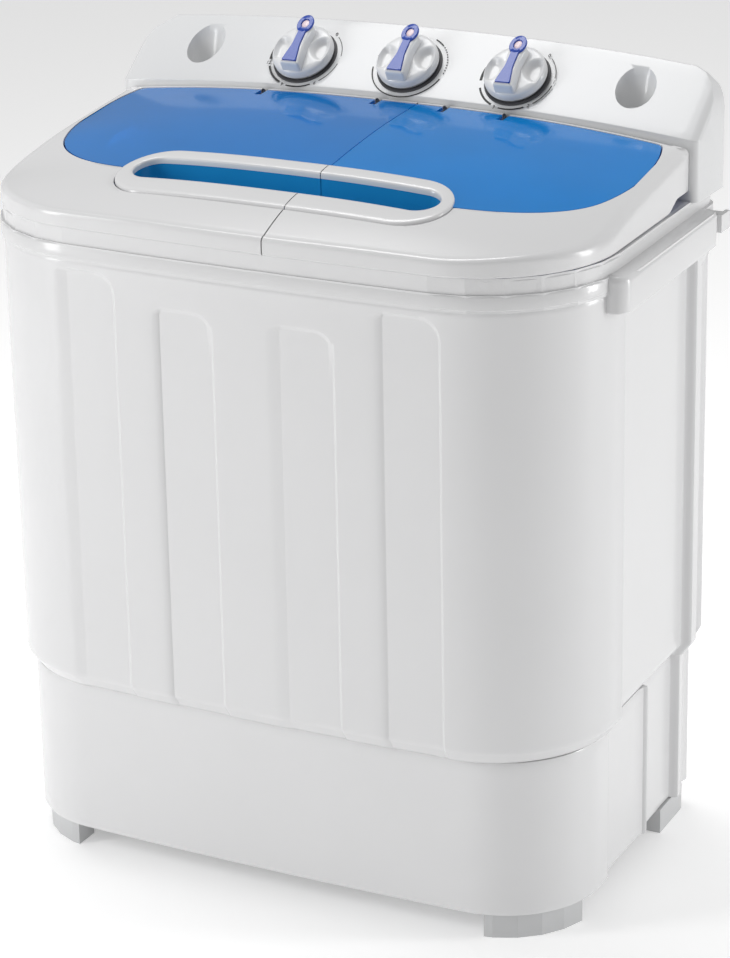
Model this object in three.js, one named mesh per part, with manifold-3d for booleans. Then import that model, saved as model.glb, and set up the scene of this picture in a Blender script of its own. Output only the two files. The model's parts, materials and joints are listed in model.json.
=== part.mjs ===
// Compact twin tub washer: a wash tub and a spin tub side by side in one moulded cabinet, with a hinged
// lid over each, a sloping console at the back and the two drives below.
// Millimetres, +Z up, the front faces -Y, the origin is on the floor under the middle of the machine.
import * as THREE from "three";
import { mergeVertices } from "three/addons/utils/BufferGeometryUtils.js";
import Module from "manifold-3d";

const wasm = await Module();
wasm.setup();

// ---------------------------------------------------------------- driving sizes
const WIDTH = 530; // across the band under the lids
const DEPTH = 328; // front of the lids to the heads of the back screws
const FOOT_HEIGHT = 21;
const FOOT_INSET = 5; // behind the walls of the base
const FOOT_WIDTH = 22;
const FOOT_REACH = 68; // along each side from the corner
const BASE_FLOOR = 4; // floor of the base
const SKIRT_HEIGHT = 130;
const BODY_HEIGHT = 360;
const BAND_HEIGHT = 13.5; // proud band round the top of the body
const NECK_HEIGHT = 12.5; // top frame above the band
const LID_EDGE = 12.5; // upright front edge of the lids
const WALL = 3; // moulded walls
const GAP = 0.3; // between pieces that touch
const SLIDE_GAP = 0.6; // between pieces that move past each other

const BACK_SETBACK = 4.5; // back wall to the heads of the screws
const BODY_FRONT_SETBACK = 8; // body front behind the lid front
const BASE_FRONT_SETBACK = 20.5;
const BODY_SIDE_INSET = 1.5;
const BASE_SIDE_INSET = 12.3;
const SIDE_TAPER = 12.5; // the side walls lean in towards the back
const FRONT_BOW = 9; // the front wall is bowed
const BODY_CORNER = 102;
const BASE_CORNER = 80;
const REAR_CORNER = 18;
const CHAMFER = 8; // turned-in lower edge of the body
const CHAMFER_HEIGHT = 12;

const SIDE_RECESS = 8; // hand and stiffening recesses in the side walls
const SIDE_RECESS_Y = [-38, 114];
const SIDE_GROOVE_Y = [130, 156];
const STRIP_DEPTH = 1.2; // arched strips on the front
const STRIP_WIDTH = 47.5;
const INNER_STRIP_X = 51.5;
const OUTER_STRIP_X = 137.8;
const INNER_STRIP_DROP = 29; // body top to the strips' tops
const OUTER_STRIP_DROP = 8;
const STRIP_CORNERS = [6, 16]; // their upper corners: outer, inner

const BASKET_R = 90;
const BASKET_CLEARANCE = 12;
const BASKET_HEIGHT = 250;
const MOTOR_BAY = 214; // skirt bottom to the tub floors
const SPIN_SIDE_MARGIN = 19; // band to the spin tub
const WASH_SIDE_MARGIN = 27;
const FRONT_MARGIN = 8;
const SPLIT_MARGIN = 14; // spin tub to the plane between the lids
const PULSATOR_CLEARANCE = 14;
const BIG_PULLEY_R = 66;
const SMALL_PULLEY_R = 16;
const WASH_MOTOR_R = 46;
const SPIN_MOTOR_R = 54;

const CONSOLE_DEPTH = 60; // lids to the back wall
const PANEL_TILT = THREE.MathUtils.degToRad(38);
const CONSOLE_TOP_RISE = 46; // lids to the top of the console
const CONSOLE_CROWN = 13; // the console is lower at its ends
const LID_CROWN = 18; // and so are the lids
const LID_BACK_RISE = 57; // underside of the lids to their back edge
const LID_SHEET = 3;
const LID_LEDGE = 8; // ring that carries the window
const WINDOW_SHEET = 2.6;
const HINGE_R = 17; // rounded back edge of the lids behind the hinge line
const HINGE_DROP = 9; // lid surface to the hinge line
const HINGE_PIN_R = 2.5;
const GRIP_LENGTH = 284;
const GRIP_WIDTH = 70;
const GRIP_RIM_FRONT = 22; // white rim round the finger bowl
const GRIP_RIM_BACK = 15;
const BOWL_DEPTH = 20;
const GRIP_SETBACK = 36; // lid front to the ring
const WINDOW_SIDE_MARGIN = 20;
const WINDOW_FRONT_MARGIN = 75;
const WINDOW_REAR_MARGIN = 7; // window to the hinge line
const RING_SEAT = 3; // the white ring lies this deep in the lid
const RING_RISE = 1.5; // and stands this proud of it

const KNOB_PITCH = 95;
const KNOB_R = 26;
const KNOB_RISE = 8;
const GRIP_BAR_TOP = 20; // panel to the top of a knob's bar
const INLET_X = 193;
const INLET_R = 17;
const INLET_DEPTH = 20;
const NOZZLE_R = 6.5;

// ---------------------------------------------------------------- places worked out from them
const FRONT = -DEPTH / 2;
const BACK = DEPTH / 2 - BACK_SETBACK;
const HALF = WIDTH / 2;
const SKIRT_BOTTOM = FOOT_HEIGHT + GAP;
const SKIRT_FLOOR = SKIRT_BOTTOM + BASE_FLOOR;
const SKIRT_TOP = SKIRT_BOTTOM + SKIRT_HEIGHT;
const BODY_BOTTOM = SKIRT_TOP + GAP;
const BODY_TOP = BODY_BOTTOM + BODY_HEIGHT;
const FRAME_BOTTOM = BODY_TOP + GAP;
const BAND_TOP = FRAME_BOTTOM + BAND_HEIGHT;
const FRAME_TOP = BAND_TOP + NECK_HEIGHT;
const LID_BOTTOM = FRAME_TOP + SLIDE_GAP;
const LID_REAR = BACK - CONSOLE_DEPTH;
const BODY_FRONT = FRONT + BODY_FRONT_SETBACK;
const BASE_FRONT = FRONT + BASE_FRONT_SETBACK;
const BODY_HALF = HALF - BODY_SIDE_INSET;
const BASE_HALF = HALF - BASE_SIDE_INSET;
const TUB_FLOOR = SKIRT_BOTTOM + MOTOR_BAY;
const TUB_TOP = FRAME_TOP - WALL - GAP;

const SPIN_TUB_R = BASKET_R + BASKET_CLEARANCE + WALL;
const SPIN_X = HALF - SPIN_SIDE_MARGIN - SPIN_TUB_R;
const SPIN_Y = BODY_FRONT + WALL + FRONT_MARGIN + SPIN_TUB_R;
const SPLIT_X = SPIN_X - SPIN_TUB_R - SPLIT_MARGIN;
const WASH_LEFT = WASH_SIDE_MARGIN - HALF;
const WASH_RIGHT = SPLIT_X - SPLIT_MARGIN;
const WASH_FRONT = BODY_FRONT + WALL + FRONT_MARGIN;
const WASH_BACK = LID_REAR - HINGE_R; // the mouth ends at the hinge line
const WASH_X = (WASH_LEFT + WASH_RIGHT) / 2;
const WASH_Y = (WASH_FRONT + WASH_BACK) / 2;
const PULSATOR_R = Math.min(
  WASH_RIGHT - WASH_LEFT,
  WASH_BACK - WASH_FRONT,
) / 2 - WALL - PULSATOR_CLEARANCE;

const HINGE_Y = LID_REAR - HINGE_R;
const HINGE_Z = LID_BOTTOM + LID_BACK_RISE - HINGE_DROP;
const CONSOLE_FRONT = LID_REAR + SLIDE_GAP;
const CONSOLE_TOP = LID_BOTTOM + LID_BACK_RISE + CONSOLE_TOP_RISE;
const PANEL_FOOT = CONSOLE_TOP - (BACK - 4 - CONSOLE_FRONT) * Math.tan(PANEL_TILT);
const KNOB_Y = (CONSOLE_FRONT + BACK) / 2 - 7;
const PLASTIC = { color: 0xe9e9e9, roughness: 0.3, metalness: 0 };
const GREY = { color: 0xc9cbcc, roughness: 0.45, metalness: 0 };
const BLUE_CLEAR = { color: 0x3f7fbe, roughness: 0.12, metalness: 0 };
const BLUE = { color: 0x2f55c8, roughness: 0.35, metalness: 0 };
const RUBBER = { color: 0x26282a, roughness: 0.85, metalness: 0 };
const STEEL = { color: 0xa9acb0, roughness: 0.35, metalness: 1 };
const MOTOR = { color: 0x55585c, roughness: 0.5, metalness: 0.8 };
const REAR_PANEL_HALF = 160;
const REAR_PANEL_Z = [BODY_BOTTOM + 40, BODY_TOP - 50];
const REAR_PANEL_T = 2.2;
const SCREW_R = 1.9;
const SCREW_INSET = 7;
const DRAIN_X = 120;
const DRAIN_Z = SKIRT_BOTTOM + 45;
const DRAIN_R = 15;
const GLAND_X = -170;
const GLAND_R = 7;
const HANDLE_Y = [-52, 128];
const HANDLE_REACH = 12;
const HANDLE_DROP = 14; // the lip hangs below the band
const HINGE_POST = 4;
const HINGE_LUG = 9;
const HINGE_PLACES = [-116, SPLIT_X - 34, SPLIT_X + 26, 100];
const HINGE_ROOM = 5.6; // round the posts, in the lids
const SWITCH_X = SPIN_X + 66;
const SWITCH_Y = HINGE_Y - 3;
const SWITCH_HALF_X = 12;
const BUTTON_STAND = 24; // deck to the held-down button's top
const BUTTON_TRAVEL = 4;
const BUTTON_TOP = FRAME_TOP + GAP + BUTTON_STAND;
const SWITCH_CLEAR_R = HINGE_Z - BUTTON_TOP - BUTTON_TRAVEL - SLIDE_GAP; // round the hinge line
const SPOUT_R = 8;
const SPOUT_WALL = 1.8;
const INLET_Y = KNOB_Y + 5;
const SHAFT_R = 3;
const LID_REACH = 40;
const WASH_SHAFT_R = 8;
const WASH_DRAIN_X = WASH_RIGHT - 34;
const WASH_DRAIN_Y = WASH_BACK - 34;
const PULSATOR_Z = TUB_FLOOR + WALL + 3;
const PULLEY_Z = SKIRT_TOP - 26;
const PULLEY_T = 12;
const MOTOR_SHAFT_R = 5;
const MOTOR_X = WASH_X - 62;
const MOTOR_Y = BACK - WALL - 12 - WASH_MOTOR_R;
const SPIN_SHAFT_R = 7;
const SEAL_R = 24;
const BASKET_Z = TUB_FLOOR + WALL + 16;
const DRUM_R = 40;
const DRUM_Z = [TUB_FLOOR - 66, TUB_FLOOR - 42];
const SPRING_H = 30;
const SPRING_SPREAD = 66;
const PLATE_Z = SKIRT_FLOOR + SPRING_H + 2 * GAP;
const SPIN_MOTOR_Z = [PLATE_Z + 3 + GAP, PLATE_Z + 83];
const LEVER_Y = SPIN_Y + DRUM_R + 14;

// ---------------------------------------------------------------- solids
function solid(geometry) {
  const bare = geometry.clone();
  bare.deleteAttribute("normal");
  bare.deleteAttribute("uv");
  const merged = mergeVertices(bare, 1e-4);
  const index = merged.index.array;
  const kept = [];
  for (let i = 0; i < index.length; i += 3) {
    const [a, b, c] = [index[i], index[i + 1], index[i + 2]];
    if (a !== b && b !== c && c !== a) kept.push(a, b, c);
  }
  const make = (triangles) =>
    new wasm.Manifold(
      new wasm.Mesh({
        numProp: 3,
        vertProperties: merged.attributes.position.array,
        triVerts: new Uint32Array(triangles),
      }),
    );
  const made = make(kept);
  return made.volume() < 0 ? make(kept.reverse()) : made;
}

function box([x0, x1], [y0, y1], [z0, z1]) {
  const geometry = new THREE.BoxGeometry(x1 - x0, y1 - y0, z1 - z0);
  return solid(geometry.translate((x0 + x1) / 2, (y0 + y1) / 2, (z0 + z1) / 2));
}

// A turned piece: the profile holds [radius, height] points and starts and ends on the axis or closes.
function turned(profile, x = 0, y = 0, segments = 20) {
  const points = profile.map(([r, z]) => new THREE.Vector2(r, z));
  if (profile[0][0] > 0) points.push(points[0].clone());
  return solid(new THREE.LatheGeometry(points, segments).rotateX(Math.PI / 2).translate(x, y, 0));
}

function drum(x, y, [z0, z1], radius, segments = 20) {
  return turned([[0, z0], [radius, z0], [radius, z1], [0, z1]], x, y, segments);
}

function pipe(x, y, [z0, z1], outer, inner, segments = 16) {
  return turned([[inner, z0], [outer, z0], [outer, z1], [inner, z1]], x, y, segments);
}

// A cylinder along X.
function pin([x0, x1], y, z, radius, segments = 12) {
  const geometry = new THREE.CylinderGeometry(radius, radius, x1 - x0, segments);
  return solid(geometry.rotateZ(Math.PI / 2).translate((x0 + x1) / 2, y, z));
}

// A cylinder along Y.
function stud(x, [y0, y1], z, radius, segments = 14) {
  const geometry = new THREE.CylinderGeometry(radius, radius, y1 - y0, segments);
  return solid(geometry.translate(x, (y0 + y1) / 2, z));
}

function prism(shape, [z0, z1], curveSegments = 3) {
  const options = { depth: z1 - z0, bevelEnabled: false, curveSegments };
  return solid(new THREE.ExtrudeGeometry(shape, options).translate(0, 0, z0));
}

// A polygon whose corners [x, y, radius] are rounded off.
function rounded(corners) {
  const shape = new THREE.Shape();
  corners.forEach(([x, y, radius], i) => {
    const corner = new THREE.Vector2(x, y);
    const [bx, by] = corners[(i + corners.length - 1) % corners.length];
    const [ax, ay] = corners[(i + 1) % corners.length];
    const before = new THREE.Vector2(bx, by).sub(corner).normalize();
    const after = new THREE.Vector2(ax, ay).sub(corner).normalize();
    const half = Math.acos(THREE.MathUtils.clamp(before.dot(after), -1, 1)) / 2;
    const start = before.clone().multiplyScalar(radius / Math.tan(half)).add(corner);
    const end = after.clone().multiplyScalar(radius / Math.tan(half)).add(corner);
    const toCentre = before.clone().add(after).normalize();
    const centre = toCentre.multiplyScalar(radius / Math.sin(half)).add(corner);
    if (i === 0) shape.moveTo(start.x, start.y);
    else shape.lineTo(start.x, start.y);
    if (radius > 0) {
      const from = start.sub(centre).angle();
      const to = end.sub(centre).angle();
      shape.absarc(centre.x, centre.y, radius, from, to, before.cross(after) > 0);
    }
  });
  return shape;
}

function roundedBox([x0, x1], [y0, y1], range, radius, curveSegments = 3) {
  const corners = [[x0, y0, radius], [x1, y0, radius], [x1, y1, radius], [x0, y1, radius]];
  return prism(rounded(corners), range, curveSegments);
}

// A side-view outline [y, z] swept along X.
function sweptX(points, [x0, x1], steps = 1) {
  const shape = new THREE.Shape(points.map(([y, z]) => new THREE.Vector2(y, z)));
  const geometry = new THREE.ExtrudeGeometry(shape, { depth: x1 - x0, bevelEnabled: false, steps });
  const turn = new THREE.Matrix4().makeBasis(
    new THREE.Vector3(0, 1, 0),
    new THREE.Vector3(0, 0, 1),
    new THREE.Vector3(1, 0, 0),
  );
  return geometry.applyMatrix4(turn).translate(x0, 0, 0);
}

function union(...solids) {
  return solids.reduce((sum, next) => sum.add(next));
}

// Moves each vertex of a geometry to where fn(x, y, z) puts it.
function shaped(geometry, fn) {
  const position = geometry.attributes.position;
  for (let i = 0; i < position.count; i++) {
    position.setXYZ(i, ...fn(position.getX(i), position.getY(i), position.getZ(i)));
  }
  return geometry;
}

// ---------------------------------------------------------------- scene graph
const machine = new THREE.Group();

function add(name, made, finish, parent = machine) {
  const { numProp, vertProperties, triVerts } = made.getMesh();
  const positions = new Float32Array((vertProperties.length / numProp) * 3);
  for (let i = 0; i < positions.length / 3; i++) {
    positions.set(vertProperties.subarray(i * numProp, i * numProp + 3), i * 3);
  }
  const geometry = new THREE.BufferGeometry();
  geometry.setAttribute("position", new THREE.BufferAttribute(positions, 3));
  geometry.setIndex(new THREE.BufferAttribute(new Uint32Array(triVerts), 1));
  geometry.computeVertexNormals();
  const mesh = new THREE.Mesh(geometry, new THREE.MeshStandardMaterial(finish));
  mesh.name = name;
  parent.add(mesh);
  return mesh;
}

// ---------------------------------------------------------------- cabinet
// Plan of the cabinet: bowed front, big front corners, side walls that lean in towards the back.
function cabinetPlan(half, front, corner, inset = 0) {
  const side = half - inset;
  const nose = front + inset;
  const back = BACK - inset;
  const flat = side - corner;
  const bowAngle = Math.atan(FRONT_BOW / side);
  const noseRadius = (flat * 0.9) / Math.tan(bowAngle);
  const lift = (flat * 0.9 * Math.tan(bowAngle)) / 2;
  const r = corner - inset;
  return rounded([
    [0, nose - lift, noseRadius],
    [side, nose - lift + FRONT_BOW, r],
    [side - SIDE_TAPER, back, REAR_CORNER - inset / 2],
    [SIDE_TAPER - side, back, REAR_CORNER - inset / 2],
    [-side, nose - lift + FRONT_BOW, r],
  ]);
}

// Upright recesses in both side walls, from z0 to z1, grown by a wall for the inner skin.
function sideRecesses(half, [z0, z1], grow) {
  const cuts = [];
  for (const side of [-1, 1]) {
    for (const [y0, y1] of [SIDE_RECESS_Y, SIDE_GROOVE_Y]) {
      const lean = ([y, bite]) => {
        const along = (y - BODY_FRONT) / (BACK - BODY_FRONT);
        return side * (half - SIDE_TAPER * along - bite);
      };
      const shape = new THREE.Shape();
      shape.moveTo(lean([y0, -20]), y0 - grow);
      shape.lineTo(lean([y0, SIDE_RECESS + grow]), y0 - grow);
      shape.lineTo(lean([y1, SIDE_RECESS + grow]), y1 + grow);
      shape.lineTo(lean([y1, -20]), y1 + grow);
      cuts.push(prism(shape, [z0, z1]));
    }
  }
  return union(...cuts);
}

function makeFeet() {
  const outer = prism(cabinetPlan(BASE_HALF, BASE_FRONT, BASE_CORNER, FOOT_INSET), [0, FOOT_HEIGHT]);
  const hollow = cabinetPlan(BASE_HALF, BASE_FRONT, BASE_CORNER, FOOT_INSET + FOOT_WIDTH);
  const inner = prism(hollow, [-1, FOOT_HEIGHT + 1]);
  const ring = outer.subtract(inner);
  const reach = FOOT_REACH;
  const corners = [
    ["front_left", -1, -1],
    ["front_right", 1, -1],
    ["rear_left", -1, 1],
    ["rear_right", 1, 1],
  ];
  for (const [name, sx, sy] of corners) {
    const xs = sx < 0 ? [-HALF, reach - BASE_HALF] : [BASE_HALF - reach, HALF];
    const ys = sy < 0 ? [FRONT, BASE_FRONT + reach] : [BACK - reach, BACK + 10];
    add("foot_" + name, ring.intersect(box(xs, ys, [-1, FOOT_HEIGHT + 1])), RUBBER);
  }
}

function makeSkirt() {
  const span = [SKIRT_BOTTOM, SKIRT_TOP];
  const outer = prism(cabinetPlan(BASE_HALF, BASE_FRONT, BASE_CORNER), span);
  const inner = prism(
    cabinetPlan(BASE_HALF, BASE_FRONT, BASE_CORNER, WALL),
    [SKIRT_FLOOR, SKIRT_TOP + 1],
  );
  const through = [SKIRT_BOTTOM - 1, SKIRT_TOP + 2];
  const shellOuter = outer.subtract(sideRecesses(BASE_HALF, through, 0));
  const cavity = inner.subtract(sideRecesses(BASE_HALF, through, WALL));
  let skirt = shellOuter.subtract(cavity);
  for (let i = -5; i <= 5; i++) {
    const x = i * 34;
    skirt = skirt.subtract(
      box([x - 5, x + 5], [BASE_FRONT + 40, BASE_FRONT + 90], [SKIRT_BOTTOM - 1, SKIRT_BOTTOM + 5]),
    );
  }
  // Outlets in the back for the drain and for the mains lead.
  skirt = skirt.subtract(stud(DRAIN_X, [BACK - 10, BACK + 1], DRAIN_Z, DRAIN_R + GAP));
  skirt = skirt.subtract(stud(GLAND_X, [BACK - 10, BACK + 1], DRAIN_Z, GLAND_R + GAP));
  add("base_skirt", skirt, PLASTIC);
}

function frontStrips() {
  const strips = [];
  for (const side of [-1, 1]) {
    for (const [x, drop] of [[INNER_STRIP_X, INNER_STRIP_DROP], [OUTER_STRIP_X, OUTER_STRIP_DROP]]) {
      const centre = side * x;
      const half = STRIP_WIDTH / 2;
      const top = BODY_TOP - drop;
      const outline = rounded([
        [centre - half, BODY_BOTTOM - 1, 0],
        [centre + half, BODY_BOTTOM - 1, 0],
        [centre + half, top, STRIP_CORNERS[side > 0 ? 1 : 0]],
        [centre - half, top, STRIP_CORNERS[side > 0 ? 0 : 1]],
      ]);
      const depth = 60;
      const slab = new THREE.ExtrudeGeometry(outline, { depth, bevelEnabled: false, curveSegments: 2 });
      strips.push(solid(slab.rotateX(Math.PI / 2).translate(0, BODY_FRONT + 40, 0)));
    }
  }
  // Only a skin of the body's own bowed front is taken away.
  const skin = prism(
    cabinetPlan(BODY_HALF, BODY_FRONT, BODY_CORNER, -2),
    [BODY_BOTTOM - 2, BODY_TOP],
  ).subtract(
    prism(cabinetPlan(BODY_HALF, BODY_FRONT, BODY_CORNER, STRIP_DEPTH), [BODY_BOTTOM - 3, BODY_TOP + 1]),
  );
  return union(...strips).intersect(skin);
}

function turnedInEdge(inset) {
  const middle = (BODY_FRONT + BACK) / 2;
  const options = { depth: CHAMFER_HEIGHT, bevelEnabled: false, curveSegments: 3 };
  const geometry = new THREE.ExtrudeGeometry(
    cabinetPlan(BODY_HALF, BODY_FRONT, BODY_CORNER, inset),
    options,
  );
  const kx = (BODY_HALF - CHAMFER) / BODY_HALF;
  const ky = (BACK - BODY_FRONT - 2 * CHAMFER) / (BACK - BODY_FRONT);
  shaped(geometry, (x, y, z) => (z > 0 ? [x, y, z] : [x * kx, middle + (y - middle) * ky, z]));
  return solid(geometry.translate(0, 0, BODY_BOTTOM));
}

function makeBody() {
  const lower = BODY_BOTTOM + CHAMFER_HEIGHT;
  const outer = prism(
    cabinetPlan(BODY_HALF, BODY_FRONT, BODY_CORNER),
    [lower, BODY_TOP],
  ).add(turnedInEdge(0));
  const inner = prism(
    cabinetPlan(BODY_HALF, BODY_FRONT, BODY_CORNER, WALL),
    [lower - 0.01, BODY_TOP + 1],
  );
  const innerFoot = turnedInEdge(WALL).add(
    prism(cabinetPlan(BASE_HALF - 3, BASE_FRONT + 3, BASE_CORNER, WALL), [BODY_BOTTOM - 1, lower]),
  );
  const through = [BODY_BOTTOM - 1, BODY_TOP - 18];
  const shellOuter = outer.subtract(sideRecesses(BODY_HALF, through, 0)).subtract(frontStrips());
  const cavity = inner.add(innerFoot).subtract(
    sideRecesses(BODY_HALF, [BODY_BOTTOM - 2, BODY_TOP - 15], WALL),
  );
  let body = shellOuter.subtract(cavity);
  const half = REAR_PANEL_HALF - 14;
  body = body.subtract(
    box([-half, half], [BACK - 9, BACK + 5], [REAR_PANEL_Z[0] + 14, REAR_PANEL_Z[1] - 14]),
  );
  for (const [x, z] of rearScrewPlaces()) body = body.subtract(stud(x, [BACK - 9, BACK + 1], z, SCREW_R + GAP));
  add("body_shell", body, PLASTIC);
}


function rearScrewPlaces() {
  const x = REAR_PANEL_HALF - SCREW_INSET;
  const [low, high] = REAR_PANEL_Z;
  return [
    [-x, low + SCREW_INSET],
    [x, low + SCREW_INSET],
    [-x, high - SCREW_INSET],
    [x, high - SCREW_INSET],
  ];
}

function makeRearPanel() {
  const y0 = BACK + GAP;
  const y1 = y0 + REAR_PANEL_T;
  const [low, high] = REAR_PANEL_Z;
  const outline = rounded([
    [-REAR_PANEL_HALF, low, 8],
    [REAR_PANEL_HALF, low, 8],
    [REAR_PANEL_HALF, high, 8],
    [-REAR_PANEL_HALF, high, 8],
  ]);
  const plate = new THREE.ExtrudeGeometry(
    outline,
    { depth: REAR_PANEL_T, bevelEnabled: false, curveSegments: 2 },
  );
  let panel = solid(plate.rotateX(Math.PI / 2).translate(0, y1, 0));
  for (let i = 0; i < 4; i++) {
    const z = low + 40 + i * 9;
    panel = panel.subtract(box([-60, 60], [y0 - 1, y1 + 1], [z, z + 4]));
  }
  for (const [x, z] of rearScrewPlaces()) panel = panel.subtract(stud(x, [y0 - 1, y1 + 1], z, SCREW_R + GAP));
  add("rear_panel", panel, GREY);
  rearScrewPlaces().forEach(([x, z], i) => {
    const head = stud(x, [y1 + GAP, DEPTH / 2], z, 3.8, 12);
    const shank = stud(x, [BACK - 8, y1 + GAP + 0.5], z, SCREW_R, 8);
    add("rear_screw_" + (i + 1), head.add(shank), STEEL);
  });
}

// ---------------------------------------------------------------- top frame

// Side view of the raised shoulder that the console stands on.
function shoulder(lift) {
  const rise = 20;
  return [
    [CONSOLE_FRONT + 14, FRAME_TOP - 2],
    [CONSOLE_FRONT + 16, FRAME_TOP + 5 + lift],
    [BACK + 5, FRAME_TOP + rise + lift],
    [BACK + 5, FRAME_TOP - 2],
  ];
}

function handleLip(side) {
  const [y0, y1] = HANDLE_Y;
  const wallX = (y) => BODY_HALF - (SIDE_TAPER * (y - BODY_FRONT)) / (BACK - BODY_FRONT);
  const plan = (bite) =>
    rounded([
      [side * (wallX(y0) - 6), y0 + bite, 0],
      [side * (wallX(y0) + HANDLE_REACH - bite), y0 + bite, bite ? 8 : 11],
      [side * (wallX(y1) + HANDLE_REACH - bite), y1 - bite, bite ? 8 : 11],
      [side * (wallX(y1) - 6), y1 - bite, 0],
    ]);
  const lip = prism(plan(0), [FRAME_BOTTOM - HANDLE_DROP, BAND_TOP], 2);
  const hollow = prism(plan(WALL), [FRAME_BOTTOM - HANDLE_DROP - 1, BAND_TOP - WALL], 2);
  const keepOut = prism(
    cabinetPlan(BODY_HALF, BODY_FRONT, BODY_CORNER, -GAP),
    [FRAME_BOTTOM - 50, FRAME_BOTTOM],
  );
  return lip.subtract(hollow).subtract(keepOut);
}

function makeTopFrame() {
  const band = prism(cabinetPlan(HALF, FRONT + 2, BODY_CORNER + 6), [FRAME_BOTTOM, BAND_TOP]);
  const neck = prism(cabinetPlan(HALF - 2.5, FRONT + 3, BODY_CORNER + 5), [BAND_TOP - 0.01, FRAME_TOP]);
  const rearBlock = solid(sweptX(shoulder(0), [-HALF, HALF])).intersect(
    prism(cabinetPlan(HALF - 4, FRONT + 3, BODY_CORNER + 5), [FRAME_TOP - 3, FRAME_TOP + 60]),
  );
  const hollow = prism(
    cabinetPlan(HALF - 3, FRONT + 4, BODY_CORNER + 5, WALL),
    [FRAME_BOTTOM - 1, FRAME_TOP - WALL],
  );
  let frame = union(band, neck, rearBlock, handleLip(-1), handleLip(1)).subtract(hollow);
  const rim = 4;
  const washMouth = roundedBox(
    [WASH_LEFT + rim, WASH_RIGHT - rim],
    [WASH_FRONT + rim, WASH_BACK - rim],
    [FRAME_TOP - 10, FRAME_TOP + 1],
    40,
  );
  const spinMouth = drum(SPIN_X, SPIN_Y, [FRAME_TOP - 10, FRAME_TOP + 1], SPIN_TUB_R - rim, 24);
  frame = frame.subtract(washMouth).subtract(spinMouth);
  // Wells under the console: they let the switches and the inlet pipes through.
  frame = frame.subtract(
    box([-150, 150], [CONSOLE_FRONT + 8, BACK - 8], [FRAME_TOP - 10, FRAME_TOP + 60]),
  );
  for (const side of [-1, 1]) {
    frame = frame.subtract(drum(side * INLET_X, INLET_Y, [FRAME_TOP - 10, FRAME_TOP + 60], SPOUT_R + 2));
  }
  // Hinge posts with their pins.
  for (const x of HINGE_PLACES) {
    const post = box(
      [x - HINGE_POST / 2, x + HINGE_POST / 2],
      [HINGE_Y - 4, HINGE_Y + 4],
      [FRAME_TOP - WALL, HINGE_Z + HINGE_PIN_R],
    );
    frame = union(
      frame,
      post,
      pin([x, x + HINGE_POST / 2 + HINGE_LUG + 2], HINGE_Y, HINGE_Z, HINGE_PIN_R, 12),
    );
  }
  frame = frame.add(hoseHook());
  add("top_frame", frame, PLASTIC);
}

// Small bracket behind the right handle that parks the drain hose.
function hoseHook() {
  const x = BODY_HALF - SIDE_TAPER + 1;
  const z = FRAME_BOTTOM + 1;
  const arm = box([x - 4, x + 13], [BACK - 22, BACK - 14], [z, z + 7]);
  const fence = box([x + 9, x + 13], [BACK - 26, BACK - 8], [z - 7, z + 7]);
  return arm.add(fence);
}

// ---------------------------------------------------------------- console

function consoleCrown(x) {
  return CONSOLE_CROWN * Math.pow(Math.abs(x) / BODY_HALF, 2.2);
}

function panelHeight(x, y) {
  return PANEL_FOOT + (y - CONSOLE_FRONT) * Math.tan(PANEL_TILT) - consoleCrown(x);
}

function consoleBlock(inset) {
  const foot = FRAME_TOP + GAP - (inset ? 30 : 0);
  const back = BACK - inset;
  const front = CONSOLE_FRONT + inset;
  const drop = inset / Math.cos(PANEL_TILT);
  const top = CONSOLE_TOP - drop;
  const lean = Math.tan(PANEL_TILT);
  const outline = [
    [front, foot],
    [back, foot],
    [back, top - 9],
    [back - 3, top - 2.5],
    [BACK - 4 - 3, top - 3 * lean],
    [front, PANEL_FOOT - drop + inset * lean],
  ];
  const geometry = sweptX(outline, [-HALF, HALF], 8);
  shaped(geometry, (x, y, z) => [HALF * Math.sin((Math.PI / 2) * (x / HALF)), y, z]);
  shaped(geometry, (x, y, z) => (z > FRAME_TOP + 20 ? [x, y, z - consoleCrown(x)] : [x, y, z]));
  const half = BODY_HALF - 3 - inset;
  const arch = rounded([
    [-half, foot - 5, 0],
    [half, foot - 5, 0],
    [half, CONSOLE_TOP - 8, 42],
    [-half, CONSOLE_TOP - 8, 42],
  ]);
  const gate = new THREE.ExtrudeGeometry(arch, { depth: 200, bevelEnabled: false, curveSegments: 4 });
  const crest = shaped(
    gate,
    (x, y, z) => [x, y > CONSOLE_TOP - 20 ? y + 12 * (1 - (x / half) ** 2) - inset : y, z],
  );
  const plan = prism(
    cabinetPlan(HALF - 4, FRONT + 3, BODY_CORNER + 5, inset),
    [foot - 6, CONSOLE_TOP + 20],
  );
  return solid(geometry)
    .intersect(solid(crest.rotateX(Math.PI / 2).translate(0, BACK + 60, 0)))
    .intersect(plan);
}

// The panel's own frame: origin on the panel, +Y up the slope, +Z straight out of it.
function panelMatrix(x) {
  const place = new THREE.Vector3(x, KNOB_Y, panelHeight(x, KNOB_Y));
  const turn = new THREE.Quaternion().setFromAxisAngle(new THREE.Vector3(1, 0, 0), PANEL_TILT);
  return new THREE.Matrix4().compose(place, turn, new THREE.Vector3(1, 1, 1));
}

function panelGroup(x) {
  const group = new THREE.Group();
  group.applyMatrix4(panelMatrix(x));
  machine.add(group);
  return group;
}

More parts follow.
